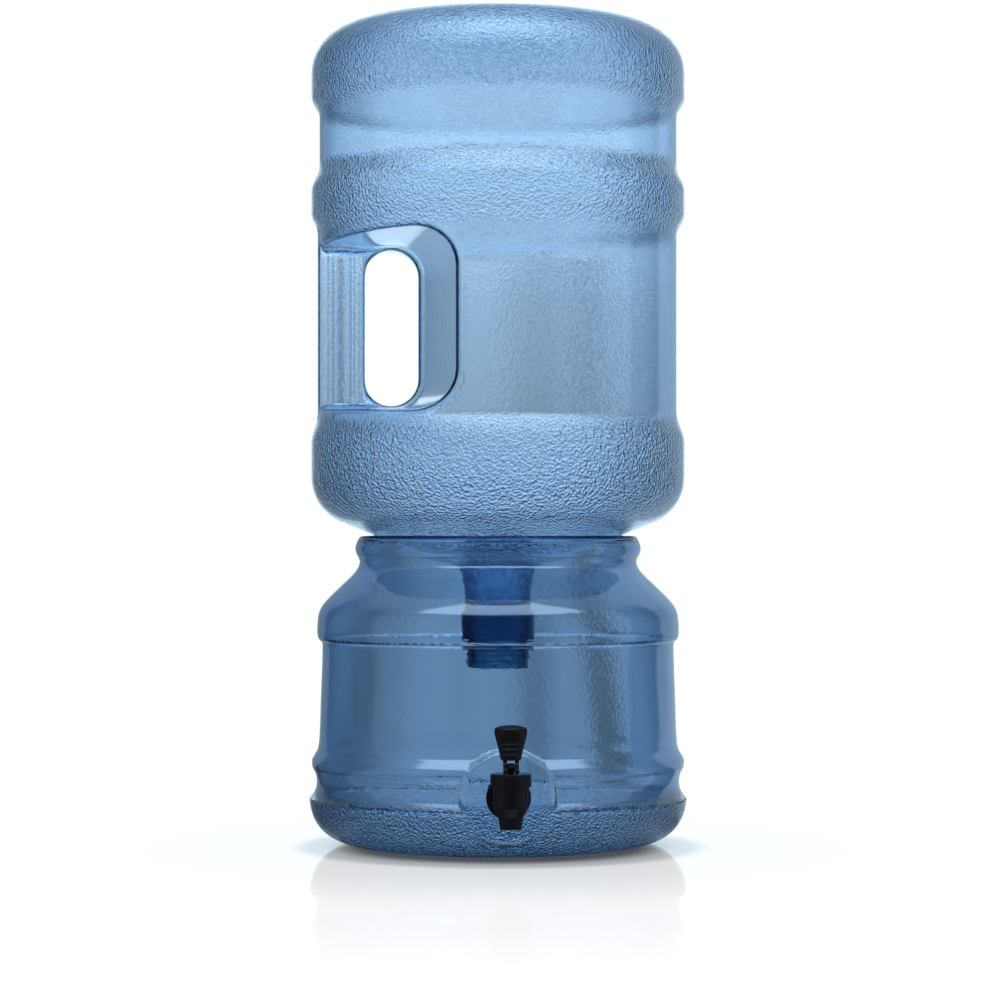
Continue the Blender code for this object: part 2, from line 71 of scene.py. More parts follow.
# Top and bottom of each step in the side wall, and whether it leads outwards.
BAND_EDGES = ((549, 535, False), (497, 480, True), (463.5, 447.5, False), (318, 295, True))
SHOULDER_RADIUS, SHOULDER_TOP, SHOULDER_SLOPE = 36.0, 270.0, 0.40
JUG_CUT = 215.0  # height where the field's mesh meets the turned funnel
JUG_PARTING = 58.7  # radius between the wall's two faces there
NECK_END = JUG_LOW.z / MM
NECK_RADIUS, COLLAR_RADIUS, THREAD_ROOT, NECK_BORE = 24.5, 27.1, 22.7, 19.5
THREAD_HEIGHT, THREAD_PITCH, THREAD_TURNS = 1.25, 4.4, 2.0
THREAD_START = NECK_END + 3.2

# Handle.
SLOT_X, SLOT_Z = (-99.0, -59.0), (322.0, 436.0)
WEB_HALF = 12.0  # half the thickness of the web that the slot goes through
# Right side, bottom, top and corner radius of the hollows beside the grip, at the web and at the front.
POCKET_AT_WEB = (-56.0, 320.5, 437.5, 21.0)
POCKET_AT_FRONT = (-35.0, 314.5, 445.0, 30.0)
POCKET_FRONT = 125.0
POCKET_EDGE, POCKET_FOOT, SLOT_EDGE, GRIP_FILLET = 5.0, 6.0, 4.5, 5.0  # radii
GRIP_CENTRE, GRIP_HALF, GRIP_Z = -115.4, (15.8, 20.0), (309.0, 449.0)

# Base.
BASE_WALL = 2.4
LIP_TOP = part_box("dispenser_base")[1].z / MM
BASE_CUT = 222.0  # height where the field's mesh meets the rolled lip
BASE_PARTING = 103.3  # radius between the wall's two faces there
BASE_CORNER = (46.0, 40.0, 2.55)
BASE_RADIUS, STANDING_RADIUS = 138.4, 93.0
PAD_FACE, PAD_HEIGHT = -135.5, 45.5
PAD_RING = (29.8, 34.6)  # where the pad's edge starts and ends

# Spigot.
VALVE_Y = -168.0
GAP = 0.3  # left between pieces that touch
SHANK_RADIUS, SHANK_BORE, SHANK_END = 9.4, 4.2, -112.0
SHANK_HOLE = SHANK_RADIUS + GAP
SHANK_PITCH, SHANK_THREAD = 1.8, 0.55
FLANGE_RADIUS, FLANGE_THICK = 15.6, 3.0
WASHER_RADIUS, WASHER_THICK = 14.5, 2.0
NUT_FLATS, NUT_THICK = 27.0, 8.0
CHAMBER_RADIUS, CHAMBER_BORE, CHAMBER_Z = 12.0, 9.0, (36.0, 59.2)
SEAT_TOP, SEAT_HEIGHT = 39.6, 1.6
OUTLET_END, OUTLET_BORE = 26.4, 5.6
BONNET_RADIUS, BONNET_Z, BONNET_ROOF = 14.0, (55.4, 64.5), 60.4
STEM_RADIUS, STEM_HEAD = 2.0, (2.5, 3.0)  # the head's half thickness and radius
FOOT_RADIUS, FOOT_THICK = 4.0, 2.0
CUP_RADIUS, CUP_Z, CUP_FLOOR, CUP_LEDGE = 8.4, (39.9, 49.0), 42.2, 46.4
SPRING_RADIUS, SPRING_WIRE, SPRING_TURNS, SPRING_WASHER = 5.2, 0.5, 4.5, 0.8
PIN_HEIGHT, PIN_RADIUS = 68.5, 1.2
CAM_LIFT, LEVER_TILT = 5.0, math.radians(45)
FORK_HALF, FORK_ROOT = (2.8, 5.3), 73.6
KNOB_TOP, KNOB_DEPTH = 97.6, 0.78  # the depth is a share of its width
FINE_STEP, LEVER_STEP, STEM_STEP = (0.6,) * 3, (0.5,) * 3, (0.35,) * 3  # cells of the surface nets


# ---- outlines


def smooth_line(points, per=8):
    """A centripetal Catmull-Rom curve through the points, with per steps between each two."""
    p = np.array(points, float)
    knots = np.concatenate([[0], np.cumsum(np.linalg.norm(np.diff(p, axis=0), axis=1) ** 0.5)])
    tangent = np.gradient(p, knots, axis=0)
    t = (np.arange(per) / per)[None, :, None]
    span = np.diff(knots)[:, None, None]
    a, b = p[:-1, None], p[1:, None]
    ta, tb = tangent[:-1, None] * span, tangent[1:, None] * span
    curve = (
        (2 * t**3 - 3 * t**2 + 1) * a
        + (t**3 - 2 * t**2 + t) * ta
        + (3 * t**2 - 2 * t**3) * b
        + (t**3 - t**2) * tb
    )
    return [tuple(q) for q in curve.reshape(-1, 2)] + [tuple(p[-1])]


def rounded(corners, steps=5):
    """A line through (r, z, radius) corners, each rounded to its radius as far as its sides allow."""
    made = []
    for i, (r, z, radius) in enumerate(corners):
        here = Vector((r, z))
        if radius == 0 or i in (0, len(corners) - 1):
            made.append((r, z))
            continue
        back = Vector(corners[i - 1][:2]) - here
        on = Vector(corners[i + 1][:2]) - here
        half = back.angle(on) / 2
        reach = min(radius / math.tan(half), back.length * 0.49, on.length * 0.49)
        start, end = here + back.normalized() * reach, here + on.normalized() * reach
        for k in range(steps + 1):
            t = k / steps
            made.append(tuple(start * (1 - t) ** 2 + here * 2 * t * (1 - t) + end * t**2))
    return made


def arc(centre, radius, first, last, count):
    """Points of an arc, angles in degrees from +r towards +z."""
    angles = (math.radians(first + (last - first) * i / count) for i in range(count + 1))
    return [(centre[0] + radius * math.cos(a), centre[1] + radius * math.sin(a)) for a in angles]


def corner_curve(centre, reach, height, power, count):
    """A quarter superellipse from straight above the centre out to its side."""
    angles = (math.pi / 2 * (1 - i / count) for i in range(count + 1))
    return [
        (
            centre[0] + reach * math.cos(a) ** (2 / power),
            centre[1] + height * math.sin(a) ** (2 / power),
        )
        for a in angles
    ]


def ease(t):
    t = np.clip(t, 0, 1)
    return t * t * (3 - 2 * t)


def dish_height(r):
    """Height of the closed end at a radius."""
    side_start, side_end = DISH_RADII
    return JUG_TOP - DISH_DEPTH + DISH_DEPTH * float(ease((r - side_start) / (side_end - side_start)))


def jug_outline():
    """The jug's outside from the middle of its closed end to the funnel, closed below the cut."""
    dish = [(r, dish_height(r)) for r in np.linspace(0, 91, 40)]
    reach, height, power = JUG_CORNER
    corner = corner_curve((JUG_RADIUS - reach, JUG_TOP - height), reach, height, power, 40)
    side = []
    for high, low, outward in BAND_EDGES:
        radii = (JUG_WAIST, JUG_RADIUS) if outward else (JUG_RADIUS, JUG_WAIST)
        for t in np.linspace(0, 1, 17):
            side.append((radii[0] + (radii[1] - radii[0]) * float(ease(t)), high + (low - high) * t))
    turn = 90 - math.degrees(math.atan(SHOULDER_SLOPE))
    shoulder = arc((JUG_RADIUS - SHOULDER_RADIUS, SHOULDER_TOP), SHOULDER_RADIUS, 0, -turn, 30)
    edge_r, edge_z = shoulder[-1]
    cone_foot = (37.0, edge_z - SHOULDER_SLOPE * (edge_r - 37.0))
    return dish + corner + side + shoulder + [cone_foot, (0, cone_foot[1] - 10)], cone_foot


def base_outline():
    """The base's outside from its neck down to the dome under it."""
    reach, height, power = BASE_CORNER
    side = [
        (104.2, 222.8), (105.6, 217.5), (104.4, 212.8), (102.5, 209.2), (102.6, 205.8),
        (105.4, 201.2), (115.2, 191.6), (125.4, 181.4), (130.0, 175.6), (132.5, 169.5),
        (133.3, 163.0), (133.3, 154.0), (132.2, 150.7), (129.9, 148.4), (129.6, 144.0),
        (130.6, 111.0), (131.8, 76.5), (132.6, 71.6), (135.0, 67.0), (136.9, 62.6),
        (136.8, 57.4), (134.8, 53.2), (133.7, 49.6), (133.7, 43.2), (135.2, 38.6), (138.1, 34.6),
    ]
    corner = corner_curve((STANDING_RADIUS, 0), reach, height, power, 36)
    foot = [(r, height - z) for r, z in corner[-2::-1]]
    dome = smooth_line([(82, 0), (78, 1.4), (72, 5.2), (60, 8), (30, 9.2), (0, 9.5)], 6)
    return [(0, LIP_TOP), (101, LIP_TOP), *smooth_line(side, 6), *foot, *dome]


# ---- signed-distance fields, in millimetres


def drawn_field(outline, step=0.5, reach=12.0):
    """Signed distance in the plane to a closed outline, read from a fine grid."""
    p = np.array([*outline, outline[0]], float)
    low = p.min(0) - reach
    count = np.ceil((p.max(0) + reach - low) / step).astype(int) + 1
    r = low[0] + step * np.arange(count[0])
    z = low[1] + step * np.arange(count[1])
    distance = np.full(count, reach)
    inside = np.zeros(count, bool)
    for a, b in zip(p[:-1], p[1:]):
        first = np.maximum(((np.minimum(a, b) - reach - low) / step).astype(int), 0)
        last = ((np.maximum(a, b) + reach - low) / step).astype(int) + 2
        part = (slice(first[0], last[0]), slice(first[1], last[1]))
        u, v = r[part[0], None] - a[0], z[None, part[1]] - a[1]
        run = b - a
        t = np.clip((u * run[0] + v * run[1]) / max(run @ run, 1e-12), 0, 1)
        distance[part] = np.minimum(distance[part], np.hypot(u - t * run[0], v - t * run[1]))
        rows = (z >= min(a[1], b[1])) & (z < max(a[1], b[1]))
        if rows.any():
            crossing = a[0] + (z[rows] - a[1]) * run[0] / run[1]
            inside[:, rows] ^= r[:, None] < crossing[None]
    signed = np.where(inside, -distance, distance)

    def field(across, up):
        u = np.clip((across - low[0]) / step, 0, count[0] - 1.001)
        v = np.clip((up - low[1]) / step, 0, count[1] - 1.001)
        i, j = u.astype(int), v.astype(int)
        u, v = u - i, v - j
        near = signed[i, j] * (1 - v) + signed[i, j + 1] * v
        far = signed[i + 1, j] * (1 - v) + signed[i + 1, j + 1] * v
        return near * (1 - u) + far * u

    return field


def turned_field(outline, step=0.5, reach=12.0):
    """Signed distance to the solid turned about Z from an outline that is closed on the axis."""
    mirrored = [(-r, z) for r, z in reversed(outline) if r > 0]
    flat = drawn_field([*outline, *mirrored], step, reach)
    return lambda x, y, z: flat(np.hypot(x, y), z)


def both(a, b, radius):
    """What is in a and in b, with a rounded edge between them."""
    return np.minimum(np.maximum(a, b), -radius) + np.hypot(
        np.maximum(a + radius, 0), np.maximum(b + radius, 0)
    )


def either(a, b, radius):
    """What is in a or in b, with a fillet between them."""
    return -both(-a, -b, radius)


def gradient(field, points, reach=0.4):
    """The field's slope at each point."""
    made = np.empty_like(points)
    for axis in range(3):
        shift = np.zeros(3)
        shift[axis] = reach
        made[:, axis] = field(*(points + shift).T) - field(*(points - shift).T)
    return made / (2 * reach)


def surface_net(field, low, high, step, levels):
    """For each level, the vertices and quads of the surface where the field has that value."""
    lines = [np.arange(a, b + s, s) for a, b, s in zip(low, high, step)]
    values = field(*np.meshgrid(*lines, indexing="ij", sparse=True))
    return [one_net(field, values, np.array(low), np.array(step), level) for level in levels]


def one_net(field, values, low, step, level):
    inside = values < level
    corners = [(i, j, k) for i in (0, 1) for j in (0, 1) for k in (0, 1)]
    shape = np.array(values.shape) - 1

    def part(array, corner):
        return array[tuple(slice(c, c + n) for c, n in zip(corner, shape))]

    filled = sum(part(inside, c).astype(np.int8) for c in corners)
    mixed = (filled > 0) & (filled < 8)
    cells = np.argwhere(mixed)
    number = np.full(shape, -1)
    number[mixed] = np.arange(len(cells))
    total, hits = np.zeros((len(cells), 3)), np.zeros(len(cells))
    at = {c: part(values, c)[mixed] - level for c in corners}
    for axis in range(3):
        for c in corners:
            if c[axis]:
                continue
            other = tuple(1 if i == axis else n for i, n in enumerate(c))
            a, b = at[c], at[other]
            crossed = (a < 0) != (b < 0)
            t = np.where(crossed, a / np.where(crossed, a - b, 1), 0)
            place = np.array(c, float)[None] + t[:, None] * np.eye(3)[axis]
            total += place * crossed[:, None]
            hits += crossed
    points = low + (cells + total / hits[:, None]) * step
    quads = []
    for axis in range(3):
        one, two = (axis + 1) % 3, (axis + 2) % 3
        ahead = np.roll(inside, -1, axis)
        crossed = inside != ahead
        crossed[tuple(-1 if i == axis else slice(None) for i in range(3))] = False
        for a in (one, two):
            crossed[tuple(0 if i == a else slice(None) for i in range(3))] = False
            crossed[tuple(-1 if i == a else slice(None) for i in range(3))] = False
        where = np.argwhere(crossed)
        ring = []
        for da, db in ((1, 1), (0, 1), (0, 0), (1, 0)):
            cell = where.copy()
            cell[:, one] -= da
            cell[:, two] -= db
            ring.append(number[tuple(cell.T)])
        face = np.stack(ring, 1)
        backwards = ~inside[tuple(where.T)]
        face[backwards] = face[backwards][:, ::-1]
        quads.append(face)
    quads = np.vstack(quads)
    return settled(field, points, quads, level), quads


def settled(field, points, quads, level, passes=4):
    """The points evened out along the surface and brought onto it."""
    ends = np.vstack([quads[:, [i, (i + 1) % 4]] for i in range(4)])
    count = np.bincount(ends[:, 0], minlength=len(points)) + np.bincount(ends[:, 1], minlength=len(points))
    for turn in range(passes + 2):
        slope = gradient(field, points)
        length2 = np.maximum((slope**2).sum(1), 0.05)
        off = (field(*points.T) - level) / length2
        points = points - slope * np.clip(off, -1.5, 1.5)[:, None]
        if turn >= passes:
            continue
        mean = np.stack(
            [
                np.bincount(ends[:, 0], points[ends[:, 1], i], len(points))
                + np.bincount(ends[:, 1], points[ends[:, 0], i], len(points))
                for i in range(3)
            ],
            1,
        ) / np.maximum(count, 1)[:, None]
        move = mean - points
        normal = slope / np.sqrt(length2)[:, None]
        points = points + 0.5 * (move - (move * normal).sum(1)[:, None] * normal)
    return points


# ---- meshes


def joined(parts):
    """Vertices and faces of several nets as one."""
    points, faces, start = [], [], 0
    for p, f in parts:
        points.append(p)
        faces.append(f + start)
        start += len(p)
    return np.vstack(points), np.vstack(faces)


def shape_of(points, faces):
    mesh = bpy.data.meshes.new("net")
    mesh.from_pydata(points.tolist(), [], faces.tolist())
    shape = bmesh.new()
    shape.from_mesh(mesh)
    bpy.data.meshes.remove(mesh)
    return shape


def cut_off(shape, height, keep_above):
    """Cuts the shape level at a height and keeps one side."""
    bmesh.ops.bisect_plane(
        shape,
        geom=[*shape.verts, *shape.edges, *shape.faces],
        dist=0.02,
        plane_co=(0, 0, height),
        plane_no=(0, 0, 1),
        clear_inner=keep_above,
        clear_outer=not keep_above,
    )


def open_edge(shape):
    """The vertices where the shape's surface ends."""
    return {v for e in shape.edges if len(e.link_faces) == 1 for v in e.verts}


def two_loops(vertices, angle_of, size_of, parting):
    """Two loops in angle's order, first the one whose size is above parting."""
    first = sorted((v for v in vertices if size_of(v.co) > parting), key=lambda v: angle_of(v.co))
    second = sorted((v for v in vertices if size_of(v.co) <= parting), key=lambda v: angle_of(v.co))
    return first, second


def zip_rings(shape, first, second, angle_of):
    """Triangles between two rings of vertices, both sorted by angle."""
    a, b = len(first), len(second)
    i = j = 0
    gap = 2 * math.pi

    def angle(ring, k):
        return angle_of(ring[k % len(ring)].co) + gap * (k // len(ring))

    while i < a or j < b:
        if j >= b or (i < a and angle(first, i + 1) <= angle(second, j + 1)):
            corners = (first[i % a], first[(i + 1) % a], second[j % b])
            i += 1
        else:
            corners = (first[i % a], second[(j + 1) % b], second[j % b])
            j += 1
        shape.faces.new(corners)


def bridge(shape, near, far):
    """Quads between two closed rows with the same number of vertices."""
    for k in range(len(near)):
        n = (k + 1) % len(near)
        shape.faces.new((near[k], near[n], far[n], far[k]))


def strip(shape, start_loop, rows, end_loop, angle_of):
    """Rows of points, each sorted by angle, between two open loops of the shape."""
    made = [[shape.verts.new(p) for p in row] for row in rows]
    for near, far in zip(made, made[1:]):
        bridge(shape, near, far)
    zip_rings(shape, start_loop, made[0], angle_of)
    zip_rings(shape, made[-1], end_loop, angle_of)


def turned_rows(profile, lift=None):
    """A row of points round the jug's axis for each (r, z), with the radius raised by lift(angle, z)."""
    rows = []
    for r, z in profile:
        row = []
        for k in range(TURN):
            a = -math.pi + 2 * math.pi * (k + 0.5) / TURN
            grown = r + (lift(a, z) if lift else 0)
            row.append((grown * math.cos(a), grown * math.sin(a), z))
        rows.append(row)
    return rows


def angle_about_z(p):
    return math.atan2(p.y, p.x)


def from_axis(p):
    return math.hypot(p.x, p.y)


def to_object(name, shape, place, material, field=None, field_vertices=0, reach=0.4):
    """An object from the shape, shaded smooth, with the field's own normals where it has one."""
    bmesh.ops.recalc_face_normals(shape, faces=shape.faces)
    mesh = bpy.data.meshes.new(name)
    shape.to_mesh(mesh)
    shape.free()
    mesh.shade_smooth()
    count = len(mesh.vertices)
    points = np.empty(count * 3, np.float32)
    mesh.vertices.foreach_get("co", points)
    points = points.reshape(-1, 3).astype(float)
    if field is not None:
        normals = np.empty(count * 3, np.float32)
        mesh.vertex_normals.foreach_get("vector", normals)
        normals = normals.reshape(-1, 3).astype(float)
        slope = gradient(field, points[:field_vertices], reach)
        slope /= np.maximum(np.linalg.norm(slope, axis=1), 1e-6)[:, None]
        side = np.sign((slope * normals[:field_vertices]).sum(1))
        normals[:field_vertices] = slope * side[:, None]
    moved = points * MM + np.array(place)
    mesh.vertices.foreach_set("co", moved.astype(np.float32).ravel())
    mesh.update()
    if field is not None:
        mesh.normals_split_custom_set_from_vertices(normals.tolist())
    mesh.materials.append(material)
    made = bpy.data.objects.new(name, mesh)
    bpy.context.scene.collection.objects.link(made)
    return made


# ---- jug


def pocket_field(x, y, z):
    """The hollow beside the grip, on both sides of the web, widening towards the jug's front and back."""
    side = np.abs(y)
    share = (side - WEB_HALF) / (POCKET_FRONT - WEB_HALF)
    right, low, high, bend = (a + (b - a) * share for a, b in zip(POCKET_AT_WEB, POCKET_AT_FRONT))
    across = x - right + bend
    along = np.abs(z - (low + high) / 2) - (high - low) / 2 + bend
    distance = (
        np.hypot(np.maximum(across, 0), np.maximum(along, 0))
        + np.minimum(np.maximum(across, along), 0)
        - bend
    )
    return both(distance, WEB_HALF - side, POCKET_FOOT)


def jug_field_of(body):
    middle_x, middle_z = sum(SLOT_X) / 2, sum(SLOT_Z) / 2
    slot_radius = (SLOT_X[1] - SLOT_X[0]) / 2
    straight = (SLOT_Z[1] - SLOT_Z[0]) / 2 - slot_radius

    def field(x, y, z):
        made = both(body(x, y, z), -pocket_field(x, y, z), POCKET_EDGE)
        slot = np.hypot(x - middle_x, np.maximum(np.abs(z - middle_z) - straight, 0)) - slot_radius
        made = both(made, -slot, SLOT_EDGE)
        u, v = (x - GRIP_CENTRE) / GRIP_HALF[0], y / GRIP_HALF[1]
        size = np.hypot(u, v)
        grip = (size - 1) * size / np.maximum(np.hypot(u / GRIP_HALF[0], v / GRIP_HALF[1]), 1e-6)
        grip = np.maximum(grip, np.abs(z - sum(GRIP_Z) / 2) - (GRIP_Z[1] - GRIP_Z[0]) / 2)
        return either(made, grip, GRIP_FILLET)

    return field


def thread_lift(angle, z):
    """How far the helical thread on the neck stands out at an angle and height."""
    share = (angle % (2 * math.pi)) / (2 * math.pi)
    turn = (z - THREAD_START) / THREAD_PITCH - share
    nearest = min(max(round(turn), 0), round(THREAD_TURNS) - 1)
    off = (turn - nearest) * THREAD_PITCH
    run = nearest + share
    fade = ease(min(run, THREAD_TURNS - run) / 0.08)
    return THREAD_HEIGHT * float(fade) * max(0.0, math.cos(math.pi / 2 * min(abs(off) / 1.45, 1))) ** 0.8


def neck_profile(cone_foot):
    """Down the outside of the funnel, neck, collar and thread, and up the bore."""
    foot_r, foot_z = cone_foot
    outer_r = foot_r + (JUG_CUT - foot_z) / SHOULDER_SLOPE
    cone = [(foot_r + (outer_r - foot_r) * t, foot_z + (JUG_CUT - foot_z) * t) for t in (0.93, 0.6, 0.3)]
    funnel = smooth_line([cone[-1], cone_foot, (31.2, 201.2), (27.4, 196), (25.2, 188.5), (24.5, 179)], 7)
    top, low = 172.9, 149.1
    collar = [
        (NECK_RADIUS, 177.5, 0), (NECK_RADIUS, top + 0.3, 1.2), (COLLAR_RADIUS, top, 1.0),
        (COLLAR_RADIUS, low, 0.7), (22.2, low, 0.5), (22.2, 146.7, 0.5), (COLLAR_RADIUS, 146.7, 0.7),
        (COLLAR_RADIUS, 144.4, 0.7), (THREAD_ROOT, 144.4, 0.6), (THREAD_ROOT, 143.4, 0),
    ]
    threads = [(THREAD_ROOT, z) for z in np.arange(143.1, NECK_END + 1.4, -0.36)]
    mouth = [
        (THREAD_ROOT, NECK_END + 1.4, 0), (THREAD_ROOT, NECK_END, 0.9),
        (NECK_BORE, NECK_END, 0.9), (NECK_BORE, NECK_END + 3, 0),
    ]
    bore = rounded([(NECK_BORE, NECK_END + 4, 0), (NECK_BORE, 147, 2.5), (21.4, 151, 2.5), (21.4, 174, 0)])
    lift = JUG_WALL / math.cos(math.atan(SHOULDER_SLOPE))
    inner_r = foot_r + (JUG_CUT - foot_z - lift) / SHOULDER_SLOPE
    inner_z = foot_z + lift
    inner_cone = [
        (foot_r + (inner_r - foot_r) * t, inner_z + (JUG_CUT - inner_z) * t) for t in (0.25, 0.6, 0.93)
    ]
    inner_funnel = [
        (21.4, 174.5), (22.0, 181), (22.9, 188.8), (25.4, 196.9), (29.9, 202.9), (36.0, 206.9), inner_cone[0],
    ]
    outside = cone[:-1] + funnel + rounded(collar) + threads + rounded(mouth)
    return outside + bore + smooth_line(inner_funnel, 7) + inner_cone[1:]


def make_jug(material):
    outline, cone_foot = jug_outline()
    field = jug_field_of(turned_field(outline))
    side = JUG_RADIUS + 4
    low, high = (-side, -side, JUG_CUT - 6), (side, side, JUG_TOP + 4)
    nets = surface_net(field, low, high, NET_STEP, (0, -JUG_WALL))
    shape = shape_of(*joined(nets))
    cut_off(shape, JUG_CUT, True)
    count = len(shape.verts)
    outer, inner = two_loops(open_edge(shape), angle_about_z, from_axis, JUG_PARTING)
    rows = turned_rows(neck_profile(cone_foot), lambda a, z: thread_lift(a, z) if z < 143.2 else 0)
    strip(shape, outer, rows, inner, angle_about_z)
    return to_object("jug_shell", shape, (0, AXIS_Y, 0), material, field, count)


# ---- base


def base_field_of(body):
    def field(x, y, z):
        wall = body(x, y, z)
        share = ease((PAD_RING[1] - np.hypot(x, z - PAD_HEIGHT)) / (PAD_RING[1] - PAD_RING[0])) * (y < 0)
        return wall + share * (PAD_FACE - y - wall)

    return field


def lip_profile():
    """Over the rolled lip, from the outside of the neck to its inside."""
    over = [
        (104.45, 222.5), (103.4, 224.9), (101.4, 226.4), (98.5, LIP_TOP), (94.5, LIP_TOP), (92.4, 226.3),
        (91.5, 224.9), (91.6, 223.5), (92.4, 222.9), (93.4, 223.3), (94.6, 224.2), (98.5, 224.5),
        (100.9, 224.0), (102.0, 222.6),
    ]
    return smooth_line(over, 5)


def make_base(material):
    field = base_field_of(turned_field(base_outline()))
    side = BASE_RADIUS + 4
    nets = surface_net(field, (-side, -side, -4), (side, side, BASE_CUT + 4), NET_STEP, (0, -BASE_WALL))
    shape = shape_of(*joined(nets))
    cut_off(shape, BASE_CUT, False)

    def from_shank(p):
        return math.hypot(p.x, p.z - PAD_HEIGHT)

    def angle_about_shank(p):
        return math.atan2(p.z - PAD_HEIGHT, p.x)

    def in_hole(face):
        middle = face.calc_center_median()
        return middle.y < -100 and from_shank(middle) < SHANK_HOLE + 2.5

    bmesh.ops.delete(shape, geom=[f for f in shape.faces if in_hole(f)], context="FACES")
    count = len(shape.verts)
    rim = open_edge(shape)
    lip = [v for v in rim if v.co.z > BASE_CUT - 1]
    hole = [v for v in rim if v.co.z < BASE_CUT - 1]
    outer, inner = two_loops(lip, angle_about_z, from_axis, BASE_PARTING)
    strip(shape, outer, turned_rows(lip_profile()), inner, angle_about_z)
    back, front = two_loops(hole, angle_about_shank, lambda p: p.y, PAD_FACE + BASE_WALL / 2)
    wall_back = PAD_FACE + BASE_WALL
    edge = 0.3  # chamfer of the hole
    rows = []
    for y, radius in (
        (PAD_FACE, SHANK_HOLE + edge), (PAD_FACE + edge, SHANK_HOLE),
        (wall_back - edge, SHANK_HOLE), (wall_back, SHANK_HOLE + edge),
    ):
        angles = [-math.pi + 2 * math.pi * (k + 0.5) / 48 for k in range(48)]
        rows.append([(radius * math.cos(a), y, PAD_HEIGHT + radius * math.sin(a)) for a in angles])
    strip(shape, front, rows, back, angle_about_shank)
    return to_object("base_shell", shape, (0, AXIS_Y, 0), material, field, count)


# ---- spigot


def fine_field(outline):
    """A small turned solid's field."""
    return turned_field(outline, 0.12, 3.0)


def at_valve(field):
    """The field moved from the jug's axis to the valve's."""
    return lambda x, y, z: field(x, y - VALVE_Y, z)


def on_shank(field):
    """The field laid along the shank, with its height along Y."""
    return lambda x, y, z: field(x, z - PAD_HEIGHT, y)


def across_lever(outline):
    """Signed distance to a bar along X, from its (y, z) outline about the lever's pin."""
    flat = drawn_field(outline, 0.1, 3.0)
    return lambda x, y, z: flat(y - VALVE_Y, z - PIN_HEIGHT)


def eye(x, y, z):
    """The hole for the lever's pin."""
    return np.hypot(y - VALVE_Y, z - PIN_HEIGHT) - PIN_RADIUS - GAP


def net_piece(name, field, low, high, material, step=FINE_STEP):
    points, quads = surface_net(field, low, high, step, (0,))[0]
    return to_object(name, shape_of(points, quads), (0, AXIS_Y, 0), material, field, len(points), reach=0.15)


def ring_outline(corners):
    """A closed outline with every corner rounded."""
    return rounded([corners[-1], *corners, corners[0]])[1:-1]


def turned_piece(name, outline, place, material, steps=72):
    """A solid turned from a closed outline. Place puts (across, sideways, along) where the piece is."""
    shape = bmesh.new()
    rings = []
    for k in range(steps):
        a = 2 * math.pi * k / steps
        rings.append([shape.verts.new(place(r * math.cos(a), r * math.sin(a), z)) for r, z in outline])
    for near, far in zip(rings, rings[1:] + rings[:1]):
        bridge(shape, near, far)
    bmesh.ops.remove_doubles(shape, verts=shape.verts, dist=1e-4)
    return to_object(name, shape, (0, AXIS_Y, 0), material)


def by_valve(across, sideways, along):
    return across, VALVE_Y + sideways, along


def by_shank(across, sideways, along):
    return across, along, PAD_HEIGHT + sideways


def by_pin(across, sideways, along):
    return along, VALVE_Y + across, PIN_HEIGHT + sideways


def spigot_body_field():
    """Chamber, outlet, flange and threaded shank, less their bores."""
    low, high = CHAMBER_Z
    outline = [
        (0, high, 0), (CHAMBER_RADIUS, high, 0.3), (CHAMBER_RADIUS, low + 5, 3),
        (8.8, low - 1, 3), (7.4, OUTLET_END, 0.5), (0, OUTLET_END, 0),
    ]
    chamber = at_valve(fine_field(rounded(outline)))
    flange_face = PAD_FACE - WASHER_THICK - 2 * GAP
    flange_front = flange_face - FLANGE_THICK
    outline = [
        (0, VALVE_Y + 4, 0), (SHANK_RADIUS, VALVE_Y + 4, 0), (SHANK_RADIUS, flange_front, 1.6),
        (FLANGE_RADIUS, flange_front, 0.9), (FLANGE_RADIUS, flange_face, 0.5),
        (SHANK_RADIUS, flange_face, 0.2), (SHANK_RADIUS, SHANK_END, 0.8), (0, SHANK_END, 0),
    ]
    shank = on_shank(fine_field(rounded(outline)))
    seat_foot = SEAT_TOP - SEAT_HEIGHT
    outline = [
        (0, high + 5), (CHAMBER_BORE, high + 5), (CHAMBER_BORE, seat_foot),
        (OUTLET_BORE + 1.4, seat_foot), (OUTLET_BORE + 1, SEAT_TOP), (OUTLET_BORE, SEAT_TOP),
        (OUTLET_BORE, OUTLET_END - 5), (0, OUTLET_END - 5),
    ]
    chamber_bore = at_valve(fine_field(outline))
    bore_ends = ((0, VALVE_Y + 5), (SHANK_BORE, VALVE_Y + 5), (SHANK_BORE, SHANK_END + 5), (0, SHANK_END + 5))
    shank_bore = on_shank(fine_field(bore_ends))

    def field(x, y, z):
        turn = y / SHANK_PITCH + np.arctan2(z - PAD_HEIGHT, x) / (2 * math.pi)
        threaded = ease((y - flange_face - 2) / 2) * ease((SHANK_END - 1 - y) / 2)
        cut = SHANK_THREAD * threaded * (0.5 - 0.5 * np.cos(2 * math.pi * turn))
        made = either(chamber(x, y, z), shank(x, y, z) + cut, 1.4)
        made = both(made, -chamber_bore(x, y, z), 0.25)
        return both(made, -shank_bore(x, y, z), 0.3)

    return field


